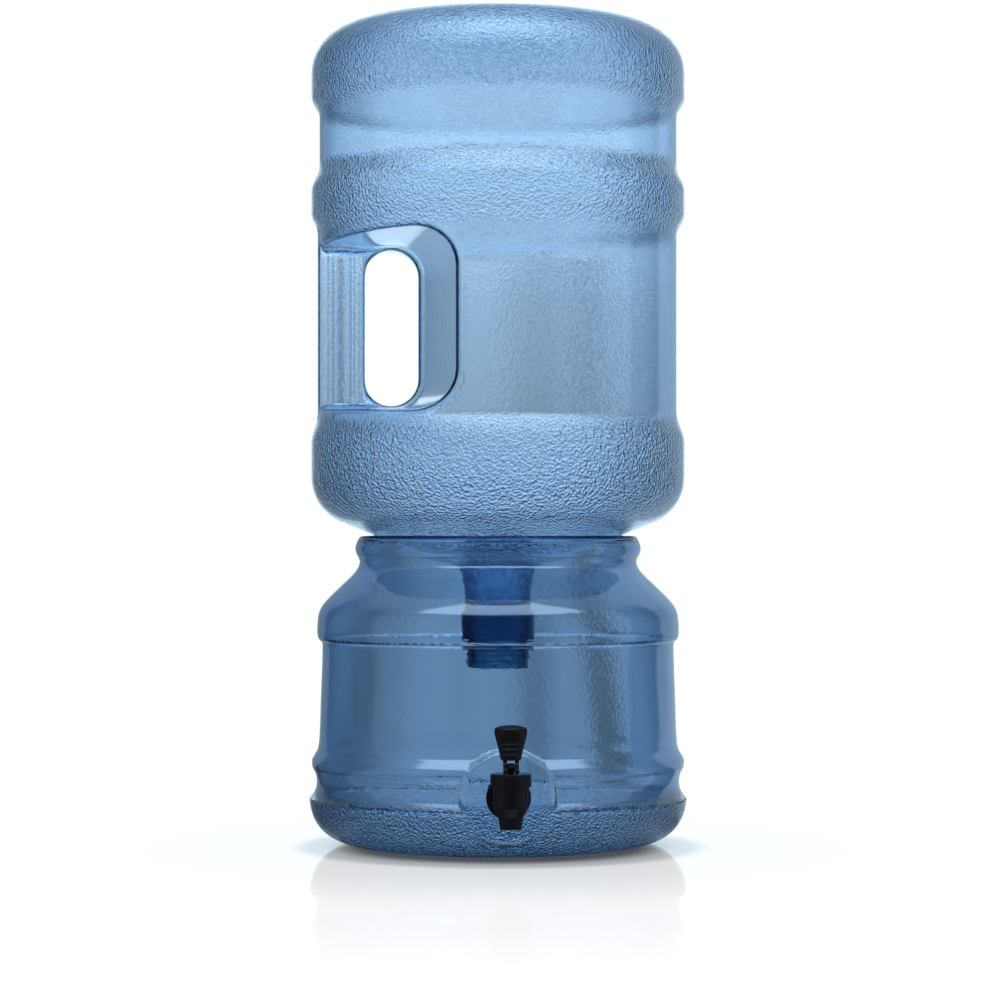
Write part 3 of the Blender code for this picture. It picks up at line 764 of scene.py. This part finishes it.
def lever_side_outline():
    """One fork leg from the side, as (y, z) about the pin. Its foot is a cam that lifts the stem."""
    pin_drop = PIN_HEIGHT - BONNET_Z[1] - GAP
    root = FORK_ROOT - PIN_HEIGHT + 1.5
    toe = []
    for tilt in np.linspace(0, LEVER_TILT + math.radians(4), 16):
        down = pin_drop + CAM_LIFT * tilt
        toe.append(
            (
                -CAM_LIFT * math.cos(tilt) - down * math.sin(tilt),
                CAM_LIFT * math.sin(tilt) - down * math.cos(tilt),
            )
        )
    back = smooth_line([(3.4, root), (4.2, 2.5), (4.5, -1.0), (4.1, -2.8), (3.2, -pin_drop)], 5)
    front = smooth_line([(-7.4, 0.6), (-6.0, 1.3), (-4.6, 2.0), (-3.7, 3.4), (-3.4, root)], 5)
    return back + toe + front


def lever_field():
    """The oval flared knob, ribbed in front, on a fork whose legs stand beside the stem's head."""
    side = [
        (0, KNOB_TOP), (4.0, KNOB_TOP - 0.25), (7.6, KNOB_TOP - 0.8), (10.2, KNOB_TOP - 1.7),
        (11.2, KNOB_TOP - 3.0), (11.2, KNOB_TOP - 5.6), (10.5, KNOB_TOP - 9.0), (9.4, KNOB_TOP - 13.2),
        (8.3, KNOB_TOP - 17.4), (7.5, FORK_ROOT + 3.2), (7.1, FORK_ROOT + 0.8), (6.3, FORK_ROOT),
    ]
    knob = fine_field([*smooth_line(side, 6), (0, FORK_ROOT)])
    leg = across_lever(lever_side_outline())
    leg_middle, leg_half = sum(FORK_HALF) / 2, (FORK_HALF[1] - FORK_HALF[0]) / 2

    def field(x, y, z):
        forward = (y - VALVE_Y) / KNOB_DEPTH
        ribbed = ease((-forward - 0.35 * np.abs(x) - 2) / 2)
        down = (KNOB_TOP - 12.0 - z) / 3.6
        groove = 0.5 * ribbed * np.maximum(np.cos(2 * math.pi * down), 0) * (np.abs(down - 1) < 1.25)
        made = knob(x, forward, z) * KNOB_DEPTH + groove
        legs = both(leg(x, y, z), np.abs(np.abs(x) - leg_middle) - leg_half, 0.5)
        return both(either(made, legs, 0.8), -eye(x, y, z), 0.2)

    return field


def stem_field():
    """A foot, a rod, and a rounded flat head with the pin's hole."""
    neck = PIN_HEIGHT - 3
    low = CUP_FLOOR + GAP
    outline = [
        (0, neck, 0), (STEM_RADIUS, neck, 0.2), (STEM_RADIUS, low + FOOT_THICK, 0.6),
        (FOOT_RADIUS, low + FOOT_THICK, 0.4), (FOOT_RADIUS, low, 0.4), (0, low, 0),
    ]
    rod = at_valve(fine_field(rounded(outline)))
    half, radius = STEM_HEAD
    crown = arc((0, 0), radius, 0, 180, 24)
    foot = neck - 0.4 - PIN_HEIGHT
    head = across_lever([*crown, (-STEM_RADIUS, foot), (STEM_RADIUS, foot)])

    def field(x, y, z):
        made = either(rod(x, y, z), both(head(x, y, z), np.abs(x) - half, 0.5), 0.5)
        return both(made, -eye(x, y, z), 0.2)

    return field


def nut_field():
    """A hex nut with chamfered corners."""
    face = PAD_FACE + BASE_WALL + 2 * GAP + WASHER_THICK
    middle, half = face + NUT_THICK / 2, NUT_THICK / 2

    def field(x, y, z):
        up = z - PAD_HEIGHT
        sides = [x * math.cos(a) + up * math.sin(a) for a in (0, math.pi / 3, 2 * math.pi / 3)]
        hexagon = np.maximum(np.maximum(np.abs(sides[0]), np.abs(sides[1])), np.abs(sides[2])) - NUT_FLATS / 2
        radius, off = np.hypot(x, up), np.abs(y - middle)
        made = both(both(hexagon, off - half, 0.4), (radius + off * 1.2 - NUT_FLATS / 2 - 5.2) * 0.64, 0.3)
        return both(made, SHANK_HOLE - radius, 0.4)

    return field


def washer_outline(inner, outer, start, thickness):
    end = start + thickness
    return ring_outline([(inner, start, 0.2), (outer, start, 0.25), (outer, end, 0.25), (inner, end, 0.2)])


def bonnet_outline():
    low, high = BONNET_Z
    skirt, hole = CHAMBER_RADIUS + GAP, STEM_RADIUS + GAP
    return ring_outline(
        [
            (hole, high, 0.3), (BONNET_RADIUS, high, 0.9), (BONNET_RADIUS, low, 0.5),
            (skirt, low, 0.3), (skirt, BONNET_ROOF, 0.3), (hole, BONNET_ROOF, 0.2),
        ]
    )


def cup_outline():
    """The soft cup round the stem's foot, closed on the axis."""
    low, high = CUP_Z
    room, lip = FOOT_RADIUS + GAP, STEM_RADIUS + 2 * GAP
    lip_low = CUP_FLOOR + FOOT_THICK + 3 * GAP
    return rounded(
        [
            (0, low, 0), (CUP_RADIUS - 1.6, low, 0.8), (CUP_RADIUS, low + 1.6, 0.8), (CUP_RADIUS, high, 0.4),
            (CUP_RADIUS - 0.8, high, 0.3), (CUP_RADIUS - 1.7, CUP_LEDGE, 0.5), (lip, CUP_LEDGE, 0.3),
            (lip, lip_low + 0.4, 0.2), (room, lip_low, 0.2), (room, CUP_FLOOR, 0.3), (0, CUP_FLOOR, 0),
        ]
    )


def make_spring(material):
    """The closing spring, as a round wire on a helix."""
    low = CUP_LEDGE + 2 * GAP + SPRING_WASHER + SPRING_WIRE
    high = BONNET_ROOF - GAP - SPRING_WIRE
    around, sides = 40, 12
    count = round(SPRING_TURNS * around)
    shape = bmesh.new()
    rings = []
    for k in range(count + 1):
        a = 2 * math.pi * k / around
        z = low + (high - low) * k / count
        ring = []
        for i in range(sides):
            b = 2 * math.pi * i / sides
            r = SPRING_RADIUS + SPRING_WIRE * math.cos(b)
            place = by_valve(r * math.cos(a), r * math.sin(a), z + SPRING_WIRE * math.sin(b))
            ring.append(shape.verts.new(place))
        rings.append(ring)
    for near, far in zip(rings, rings[1:]):
        bridge(shape, near, far)
    shape.faces.new(rings[0])
    shape.faces.new(rings[-1])
    return to_object("valve_spring_wire", shape, (0, AXIS_Y, 0), material)


# ---- materials


def new_material(name, colour=(1, 1, 1), roughness=0.5):
    made = bpy.data.materials.new(name)
    made.use_nodes = True
    shader = made.node_tree.nodes["Principled BSDF"]
    shader.inputs["Base Color"].default_value = (*colour, 1)
    shader.inputs["Roughness"].default_value = roughness
    return made, made.node_tree, shader


def calc(tree, operation, *values):
    """The output of a new math node."""
    node = tree.nodes.new("ShaderNodeMath")
    node.operation = operation
    for socket, value in zip(node.inputs, values):
        if isinstance(value, bpy.types.NodeSocket):
            tree.links.new(value, socket)
        else:
            socket.default_value = value
    return node.outputs[0]


def ramp(tree, position, stops):
    """A value that runs smoothly through (position, value) stops."""
    node = tree.nodes.new("ShaderNodeValToRGB")
    node.color_ramp.interpolation = "EASE"
    elements = node.color_ramp.elements
    while len(elements) < len(stops):
        elements.new(1)
    for element, (place, value) in zip(elements, stops):
        element.position = place
        element.color = (value, value, value, 1)
    tree.links.new(position, node.inputs[0])
    return node.outputs[0]


def blend(tree, factor, first, second):
    """A colour between two, each given as a value or as a socket."""
    node = tree.nodes.new("ShaderNodeMix")
    node.data_type = "RGBA"
    tree.links.new(factor, node.inputs["Factor"])
    for name, colour in (("A", first), ("B", second)):
        if isinstance(colour, bpy.types.NodeSocket):
            tree.links.new(colour, node.inputs[name])
        else:
            node.inputs[name].default_value = (*colour, 1)
    return node.outputs["Result"]


def noise(tree, scale, detail=2, stretch=(1, 1, 1)):
    """Noise in the object's own coordinates. Scale is in features per metre."""
    place = tree.nodes.new("ShaderNodeTexCoord").outputs["Object"]
    mapping = tree.nodes.new("ShaderNodeMapping")
    mapping.inputs["Scale"].default_value = stretch
    tree.links.new(place, mapping.inputs["Vector"])
    node = tree.nodes.new("ShaderNodeTexNoise")
    node.inputs["Scale"].default_value = scale
    node.inputs["Detail"].default_value = detail
    tree.links.new(mapping.outputs[0], node.inputs["Vector"])
    return node.outputs[0]


def bump(tree, shader, height, depth):
    """Bumps of that depth, in metres, from a height of 0 to 1."""
    node = tree.nodes.new("ShaderNodeBump")
    node.inputs["Distance"].default_value = depth
    tree.links.new(height, node.inputs["Height"])
    tree.links.new(node.outputs[0], shader.inputs["Normal"])


def clear_plastic(name, pass_through, wall, pebbled_heights, grains, neck_tint):
    """Tinted polycarbonate that lets pass_through of each colour through a wall of that thickness.

    Pebbled heights are (height in millimetres, share of full pebbling) stops, grains are the pebbles
    in a metre, and neck_tint is the extra colour of the thick moulding below NECK_TINT_TOP.
    """
    made, tree, shader = new_material(name)
    shader.inputs["Transmission Weight"].default_value = 1
    shader.inputs["IOR"].default_value = 1.585
    takes = [-math.log(t) / (wall * MM) for t in pass_through]
    density = max(takes) * 1.05
    volume = tree.nodes.new("ShaderNodeVolumeAbsorption")
    volume.inputs["Color"].default_value = (*[1 - t / density for t in takes], 1)
    volume.inputs["Density"].default_value = density
    tree.links.new(volume.outputs[0], tree.nodes["Material Output"].inputs["Volume"])

    place = tree.nodes.new("ShaderNodeTexCoord").outputs["Object"]
    height = tree.nodes.new("ShaderNodeSeparateXYZ")
    tree.links.new(place, height.inputs[0])
    share = calc(tree, "DIVIDE", height.outputs[2], JUG_HIGH.z)
    pebbled = ramp(tree, share, [(z * MM / JUG_HIGH.z, value) for z, value in pebbled_heights])
    cells = tree.nodes.new("ShaderNodeTexVoronoi")
    cells.feature = "F1"
    cells.inputs["Scale"].default_value = grains
    tree.links.new(place, cells.inputs["Vector"])
    grain = calc(tree, "MULTIPLY_ADD", noise(tree, grains * 1.7), GRAIN_NOISE, cells.outputs["Distance"])
    waves = calc(tree, "MULTIPLY", noise(tree, WAVES, 1, (1, 1, 0.35)), WAVE_SHARE)
    waves = calc(tree, "MULTIPLY_ADD", noise(tree, PEEL_GRAINS), ORANGE_PEEL, waves)
    bump(tree, shader, calc(tree, "MULTIPLY_ADD", grain, pebbled, waves), PEBBLE_DEPTH)
    rough = calc(tree, "MULTIPLY_ADD", pebbled, PEBBLE_ROUGHNESS, SMOOTH_ROUGHNESS)
    tree.links.new(rough, shader.inputs["Roughness"])

    edge = NECK_TINT_TOP / JUG_TOP
    above_neck = ramp(tree, share, ((edge - 0.004, 0), (edge + 0.004, 1)))
    tint = blend(tree, above_neck, neck_tint, NO_TINT)
    # Painted shade: pebbled plastic is darkened towards a dull blue, standing in for the darker look of light
    # scattered by its pebbles.
    shaded = blend(tree, calc(tree, "MULTIPLY", pebbled, PAINTED_PEBBLE_SHADE), tint, PAINTED_SHADE_COLOUR)
    tree.links.new(shaded, shader.inputs["Base Color"])
    return made


def moulded_plastic(name, colour, roughness):
    """Injection-moulded plastic with a faint texture and uneven gloss."""
    made, tree, shader = new_material(name, colour)
    shader.inputs["Specular IOR Level"].default_value = 0.14
    gloss = calc(tree, "MULTIPLY_ADD", noise(tree, 260), 0.16, roughness - 0.08)
    tree.links.new(gloss, shader.inputs["Roughness"])
    bump(tree, shader, noise(tree, 1800, 3), 0.00003)
    return made


def steel(name):
    """Drawn stainless steel with fine lines."""
    made, tree, shader = new_material(name, (0.62, 0.61, 0.6))
    shader.inputs["Metallic"].default_value = 1
    lines = noise(tree, 900, 3, (1, 1, 6))
    tree.links.new(calc(tree, "MULTIPLY_ADD", lines, 0.25, 0.14), shader.inputs["Roughness"])
    bump(tree, shader, lines, 0.00002)
    return made


def soft_rubber(name, colour, roughness, depth):
    """Silicone or rubber with a matt grain and slightly cloudy colour."""
    made, tree, shader = new_material(name, colour)
    cloud = blend(tree, noise(tree, 160), [c * 0.8 for c in colour], [min(c * 1.2, 1) for c in colour])
    tree.links.new(cloud, shader.inputs["Base Color"])
    shader.inputs["Roughness"].default_value = roughness
    bump(tree, shader, noise(tree, 2200, 2), depth)
    return made


PEBBLE_DEPTH = 0.0007  # metres
# Features in a metre, and their height as a share of the pebbles'.
WAVES, WAVE_SHARE = 14, 0.2
PEEL_GRAINS, ORANGE_PEEL = 380, 0.04
GRAIN_NOISE = 0.3
# Painted shade: how far fully pebbled plastic is darkened towards the dull blue below.
PAINTED_PEBBLE_SHADE = 0.16
PEBBLE_ROUGHNESS, SMOOTH_ROUGHNESS = 0.03, 0.02
NECK_TINT_TOP = 171.0  # top of the collar under the jug's funnel
# White, and the dull blue that the painted shade on pebbled plastic darkens towards.
NO_TINT, PAINTED_SHADE_COLOUR = (1, 1, 1), (0.2, 0.4, 0.6)
# Share of full pebbling by height in millimetres, which also sets how much painted shade the colour takes
# there.
JUG_PEBBLES = (
    (240, 0.6), (262, 1), (300, 0.9), (314, 0.03), (440, 0.03), (452, 0.7), (492, 0.7),
    (502, 0.05), (532, 0.05), (546, 0.65), (580, 0.65), (596, 0.25),
)
BASE_PEBBLES = ((0, 0.75), (33, 0.75), (41, 0), (226, 0))

JUG_PLASTIC = clear_plastic(
    "jug_polycarbonate", (0.58, 0.735, 0.88), JUG_WALL, JUG_PEBBLES, 500, (0.55, 0.84, 0.76)
)
BASE_PLASTIC = clear_plastic(
    "base_polycarbonate", (0.385, 0.55, 0.725), BASE_WALL, BASE_PEBBLES, 640, NO_TINT
)
SPIGOT_PLASTIC = moulded_plastic("spigot_black", (0.004, 0.004, 0.005), 0.3)
STEM_PLASTIC = moulded_plastic("stem_black", (0.006, 0.006, 0.007), 0.4)
SILICONE = soft_rubber("seat_silicone", (0.55, 0.55, 0.53), 0.55, 0.00004)
RUBBER = soft_rubber("washer_rubber", (0.02, 0.02, 0.02), 0.75, 0.00006)
STEEL = steel("stainless_steel")


# ---- pieces


def placed(piece, body, node):
    """Sets what the piece moves with, and hides the CAD node that it stands for."""
    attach(piece, body)
    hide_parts(node)
    return piece


placed(make_jug(JUG_PLASTIC), "jug", "water_jug")
placed(make_base(BASE_PLASTIC), "base", "dispenser_base")

reach = FLANGE_RADIUS + 1
body_low, body_high = (-reach, VALVE_Y - reach, OUTLET_END - 1), (reach, SHANK_END + 1, PAD_HEIGHT + reach)
piece = net_piece("spigot_housing", spigot_body_field(), body_low, body_high, SPIGOT_PLASTIC)
placed(piece, "base", "spigot_body")
piece = turned_piece("spigot_cap", bonnet_outline(), by_valve, SPIGOT_PLASTIC)
placed(piece, "base", "spigot_bonnet")

outer_start = PAD_FACE - GAP - WASHER_THICK
inner_start = PAD_FACE + BASE_WALL + GAP
for name, start in (("outer_washer", outer_start), ("inner_washer", inner_start)):
    outline = washer_outline(SHANK_HOLE, WASHER_RADIUS, start, WASHER_THICK)
    placed(turned_piece(name + "_ring", outline, by_shank, RUBBER), "base", name)

nut_start = inner_start + WASHER_THICK + GAP
nut_low = (-17, nut_start - 1, PAD_HEIGHT - 17)
nut_high = (17, nut_start + NUT_THICK + 1, PAD_HEIGHT + 17)
piece = net_piece("hex_nut", nut_field(), nut_low, nut_high, SPIGOT_PLASTIC)
placed(piece, "base", "shank_nut")

lever_low, lever_high = (-13, VALVE_Y - 11, 63), (13, VALVE_Y + 11, KNOB_TOP + 1)
piece = net_piece("lever_handle", lever_field(), lever_low, lever_high, SPIGOT_PLASTIC, LEVER_STEP)
placed(piece, "lever", "spigot_lever")

pin_half = FORK_HALF[1] + 0.2
pin_outline = rounded(
    [(0, -pin_half, 0), (PIN_RADIUS, -pin_half, 0.4), (PIN_RADIUS, pin_half, 0.4), (0, pin_half, 0)]
)
placed(turned_piece("lever_pivot", pin_outline, by_pin, STEEL, 32), "lever", "lever_pin")

stem_low, stem_high = (-5, VALVE_Y - 5, 41), (5, VALVE_Y + 5, 73)
piece = net_piece("stem", stem_field(), stem_low, stem_high, STEM_PLASTIC, STEM_STEP)
placed(piece, "valve", "valve_stem")

placed(turned_piece("cup", cup_outline(), by_valve, SILICONE), "valve", "seat_cup")

ledge = CUP_LEDGE + GAP
outline = washer_outline(STEM_RADIUS + GAP, 6.2, ledge, SPRING_WASHER)
placed(turned_piece("spring_seat", outline, by_valve, STEEL), "valve", "spring_washer")

spring = placed(make_spring(STEEL), "valve", "valve_spring")
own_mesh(spring)


# ---- stage, light and camera

CAMERA_DISTANCE = 2.2
CAMERA_TURN = math.radians(-3)
EYE_LEVEL = 0.2258
WHITE = 1.04  # radiance of the backdrop and the floor

# Mirrored light round the room as (degrees from the camera, positive to the right, and radiance).
ROOM_LIGHT = (
    (-180, 1.6), (-172, 1.6), (-169, 0.5), (-150, 0.4), (-140, 0.06), (-92, 0.05), (-86, 0.5),
    (-40, 0.4), (-28, 0.06), (28, 0.06), (42, 0.6), (88, 0.7), (92, 0.02), (118, 0.02), (125, 0.8),
    (160, 0.8), (163, 0.6), (166, 1.6), (180, 1.6),
)
PANEL_AZIMUTH, PANEL_HEIGHT, PANEL_LIGHT = (-58, 58), (40, 74), 4.0
MIRROR_TINT = (0.65, 0.85, 1.0)

# The backdrop as the clear plastic shows it: upright bands as (degrees right of the object, light),
# repeated all round, and brighter higher up as (rise of the ray, light).
BAND_SPAN = 10
BAND_LIGHT = (
    (-5, 0.9), (-3.2, 0.55), (-2.6, 0.66), (-1.6, 0.92), (-0.2, 1), (0.4, 0.9), (0.55, 0.66), (0.95, 0.64),
    (1.1, 0.86), (1.95, 0.82), (2.1, 0.34), (2.6, 0.32), (2.75, 0.9), (3.2, 1.1), (5, 0.9),
)
RISE_LIGHT = ((0, 0.44), (0.03, 0.44), (0.075, 0.555), (0.115, 0.85), (0.15, 1.0))
BRIGHTEST = 1.9
# Strength of the painted bands of light on the floor where it is seen through the plastic.
PAINTED_FLOOR_BANDS = 0.92


def facing(degrees):
    """Place on the room's ramps of a direction in degrees from the camera."""
    return degrees / 360 + 0.5


def round_the_room(tree, x, y):
    """Place on the room's ramps of the direction x, y."""
    turn = calc(tree, "ARCTAN2", x, calc(tree, "MULTIPLY", y, -1))
    return calc(tree, "MULTIPLY_ADD", turn, 1 / (2 * math.pi), 0.5)


def mirrored_room(tree, around):
    return ramp(tree, around, [(facing(a), light) for a, light in ROOM_LIGHT])


def upright_bands(tree, x, y):
    """The backdrop's bands in the direction x, y."""
    turn = calc(tree, "MULTIPLY_ADD", calc(tree, "ARCTAN2", x, y), 1, CAMERA_TURN)
    place = calc(tree, "FRACT", calc(tree, "MULTIPLY_ADD", turn, 1 / math.radians(BAND_SPAN), 0.5))
    return ramp(tree, place, [(a / BAND_SPAN + 0.5, light) for a, light in BAND_LIGHT])


def by_path(tree, direct, passed, mirrored):
    """One light for rays from the camera, one for rays through the plastic and one for mirrored rays.

    Gives the strength and the colour.
    """
    path = tree.nodes.new("ShaderNodeLightPath")
    has_passed = calc(tree, "GREATER_THAN", path.outputs["Transmission Depth"], 0.5)
    has_turned = calc(tree, "GREATER_THAN", path.outputs["Glossy Depth"], 0.5)
    light = calc(tree, "MULTIPLY_ADD", calc(tree, "SUBTRACT", passed, direct), has_passed, direct)
    light = calc(tree, "MULTIPLY_ADD", calc(tree, "SUBTRACT", mirrored, light), has_turned, light)
    return light, blend(tree, has_turned, NO_TINT, MIRROR_TINT)


def studio_world():
    """White where it is seen directly, soft bands through the plastic, softboxes where mirrored."""
    world = bpy.data.worlds.new("studio")
    world.use_nodes = True
    tree = world.node_tree
    way = tree.nodes.new("ShaderNodeSeparateXYZ")
    tree.links.new(tree.nodes.new("ShaderNodeTexCoord").outputs["Generated"], way.inputs[0])
    around = round_the_room(tree, way.outputs[0], way.outputs[1])
    up = way.outputs[2]
    low, high = (math.sin(math.radians(a)) for a in PANEL_HEIGHT)
    left, right = (facing(a) for a in PANEL_AZIMUTH)
    ceiling = ramp(tree, up, ((0.45, 0), (0.8, 1)))
    panel = calc(
        tree,
        "MULTIPLY",
        ramp(tree, around, ((left - 0.03, 0), (left, 1), (right, 1), (right + 0.03, 0))),
        ramp(tree, up, ((low - 0.04, 0), (low, 1), (high, 1), (high + 0.015, 0))),
    )
    room = calc(tree, "MULTIPLY", mirrored_room(tree, around), calc(tree, "SUBTRACT", 1, ceiling))
    room = calc(tree, "MULTIPLY_ADD", ceiling, 0.8, room)
    room = calc(tree, "MULTIPLY_ADD", panel, PANEL_LIGHT, room)
    rise = calc(tree, "MULTIPLY", ramp(tree, up, RISE_LIGHT), BRIGHTEST)
    passed = calc(tree, "MULTIPLY", upright_bands(tree, way.outputs[0], way.outputs[1]), rise)
    background = tree.nodes["Background"]
    light, colour = by_path(tree, WHITE, passed, room)
    tree.links.new(light, background.inputs["Strength"])
    tree.links.new(colour, background.inputs["Color"])
    return world


def white_floor():
    """A white floor, glossy near the object, whose glow carries painted light: upright bands through the
    plastic, the room's light where mirrored, and a painted shadow under the base.
    """
    bpy.ops.mesh.primitive_plane_add(size=30)
    floor = bpy.context.object
    floor.name = "floor"
    material = bpy.data.materials.new("floor_white_and_painted_light")
    material.use_nodes = True
    tree = material.node_tree
    tree.nodes.remove(tree.nodes["Principled BSDF"])
    white_and_painted_floor_light = tree.nodes.new("ShaderNodeEmission")
    gloss = tree.nodes.new("ShaderNodeBsdfGlossy")
    gloss.inputs["Roughness"].default_value = 0.03
    place = tree.nodes.new("ShaderNodeTexCoord").outputs["Object"]
    distance = tree.nodes.new("ShaderNodeVectorMath")
    distance.operation = "LENGTH"
    tree.links.new(place, distance.inputs[0])
    distance = distance.outputs["Value"]
    spot = tree.nodes.new("ShaderNodeSeparateXYZ")
    tree.links.new(place, spot.inputs[0])
    x, y = spot.outputs[0], spot.outputs[1]
    # Painted light: the floor glows in the backdrop's upright bands for rays through the plastic and in the
    # room's light for mirrored rays; rays from the camera see it evenly white.
    from_camera = [
        calc(tree, "ADD", x, -math.sin(CAMERA_TURN) * CAMERA_DISTANCE),
        calc(tree, "ADD", y, math.cos(CAMERA_TURN) * CAMERA_DISTANCE),
    ]
    passed = calc(tree, "MULTIPLY", upright_bands(tree, *from_camera), PAINTED_FLOOR_BANDS)
    mirrored = mirrored_room(tree, round_the_room(tree, x, y))
    light, colour = by_path(tree, WHITE, passed, mirrored)
    # Painted shadow: the floor's glow is dimmed under the base and just round its foot.
    shade = ramp(tree, distance, ((0.1, 0.1), (0.135, 0.6), (0.16, 1)))
    tree.links.new(calc(tree, "MULTIPLY", shade, light), white_and_painted_floor_light.inputs["Strength"])
    tree.links.new(colour, white_and_painted_floor_light.inputs["Color"])
    fade = ramp(tree, distance, ((0.10, 0.38), (0.16, 0.32), (0.40, 0.12), (0.75, 0)))
    mix = tree.nodes.new("ShaderNodeMixShader")
    tree.links.new(fade, mix.inputs[0])
    tree.links.new(white_and_painted_floor_light.outputs[0], mix.inputs[1])
    tree.links.new(gloss.outputs[0], mix.inputs[2])
    tree.links.new(mix.outputs[0], tree.nodes["Material Output"].inputs["Surface"])
    material.cycles.emission_sampling = "NONE"
    floor.data.materials.append(material)


bpy.context.scene.world = studio_world()
white_floor()

camera_data = bpy.data.cameras.new("camera")
camera_data.lens = 107.3
camera_data.sensor_width = 36
camera_data.shift_y = 0.037
camera_data.shift_x = 0.002
camera = bpy.data.objects.new("camera", camera_data)
bpy.context.scene.collection.objects.link(camera)
back = Vector((math.sin(CAMERA_TURN), -math.cos(CAMERA_TURN), 0))
camera.location = Vector((0, AXIS_Y, EYE_LEVEL)) + back * CAMERA_DISTANCE
camera.rotation_euler = (-back).to_track_quat("-Z", "Y").to_euler()
bpy.context.scene.camera = camera

scene = bpy.context.scene
scene.view_settings.view_transform = "Standard"
scene.cycles.max_bounces = 16
scene.cycles.transmission_bounces = 16
scene.cycles.glossy_bounces = 6
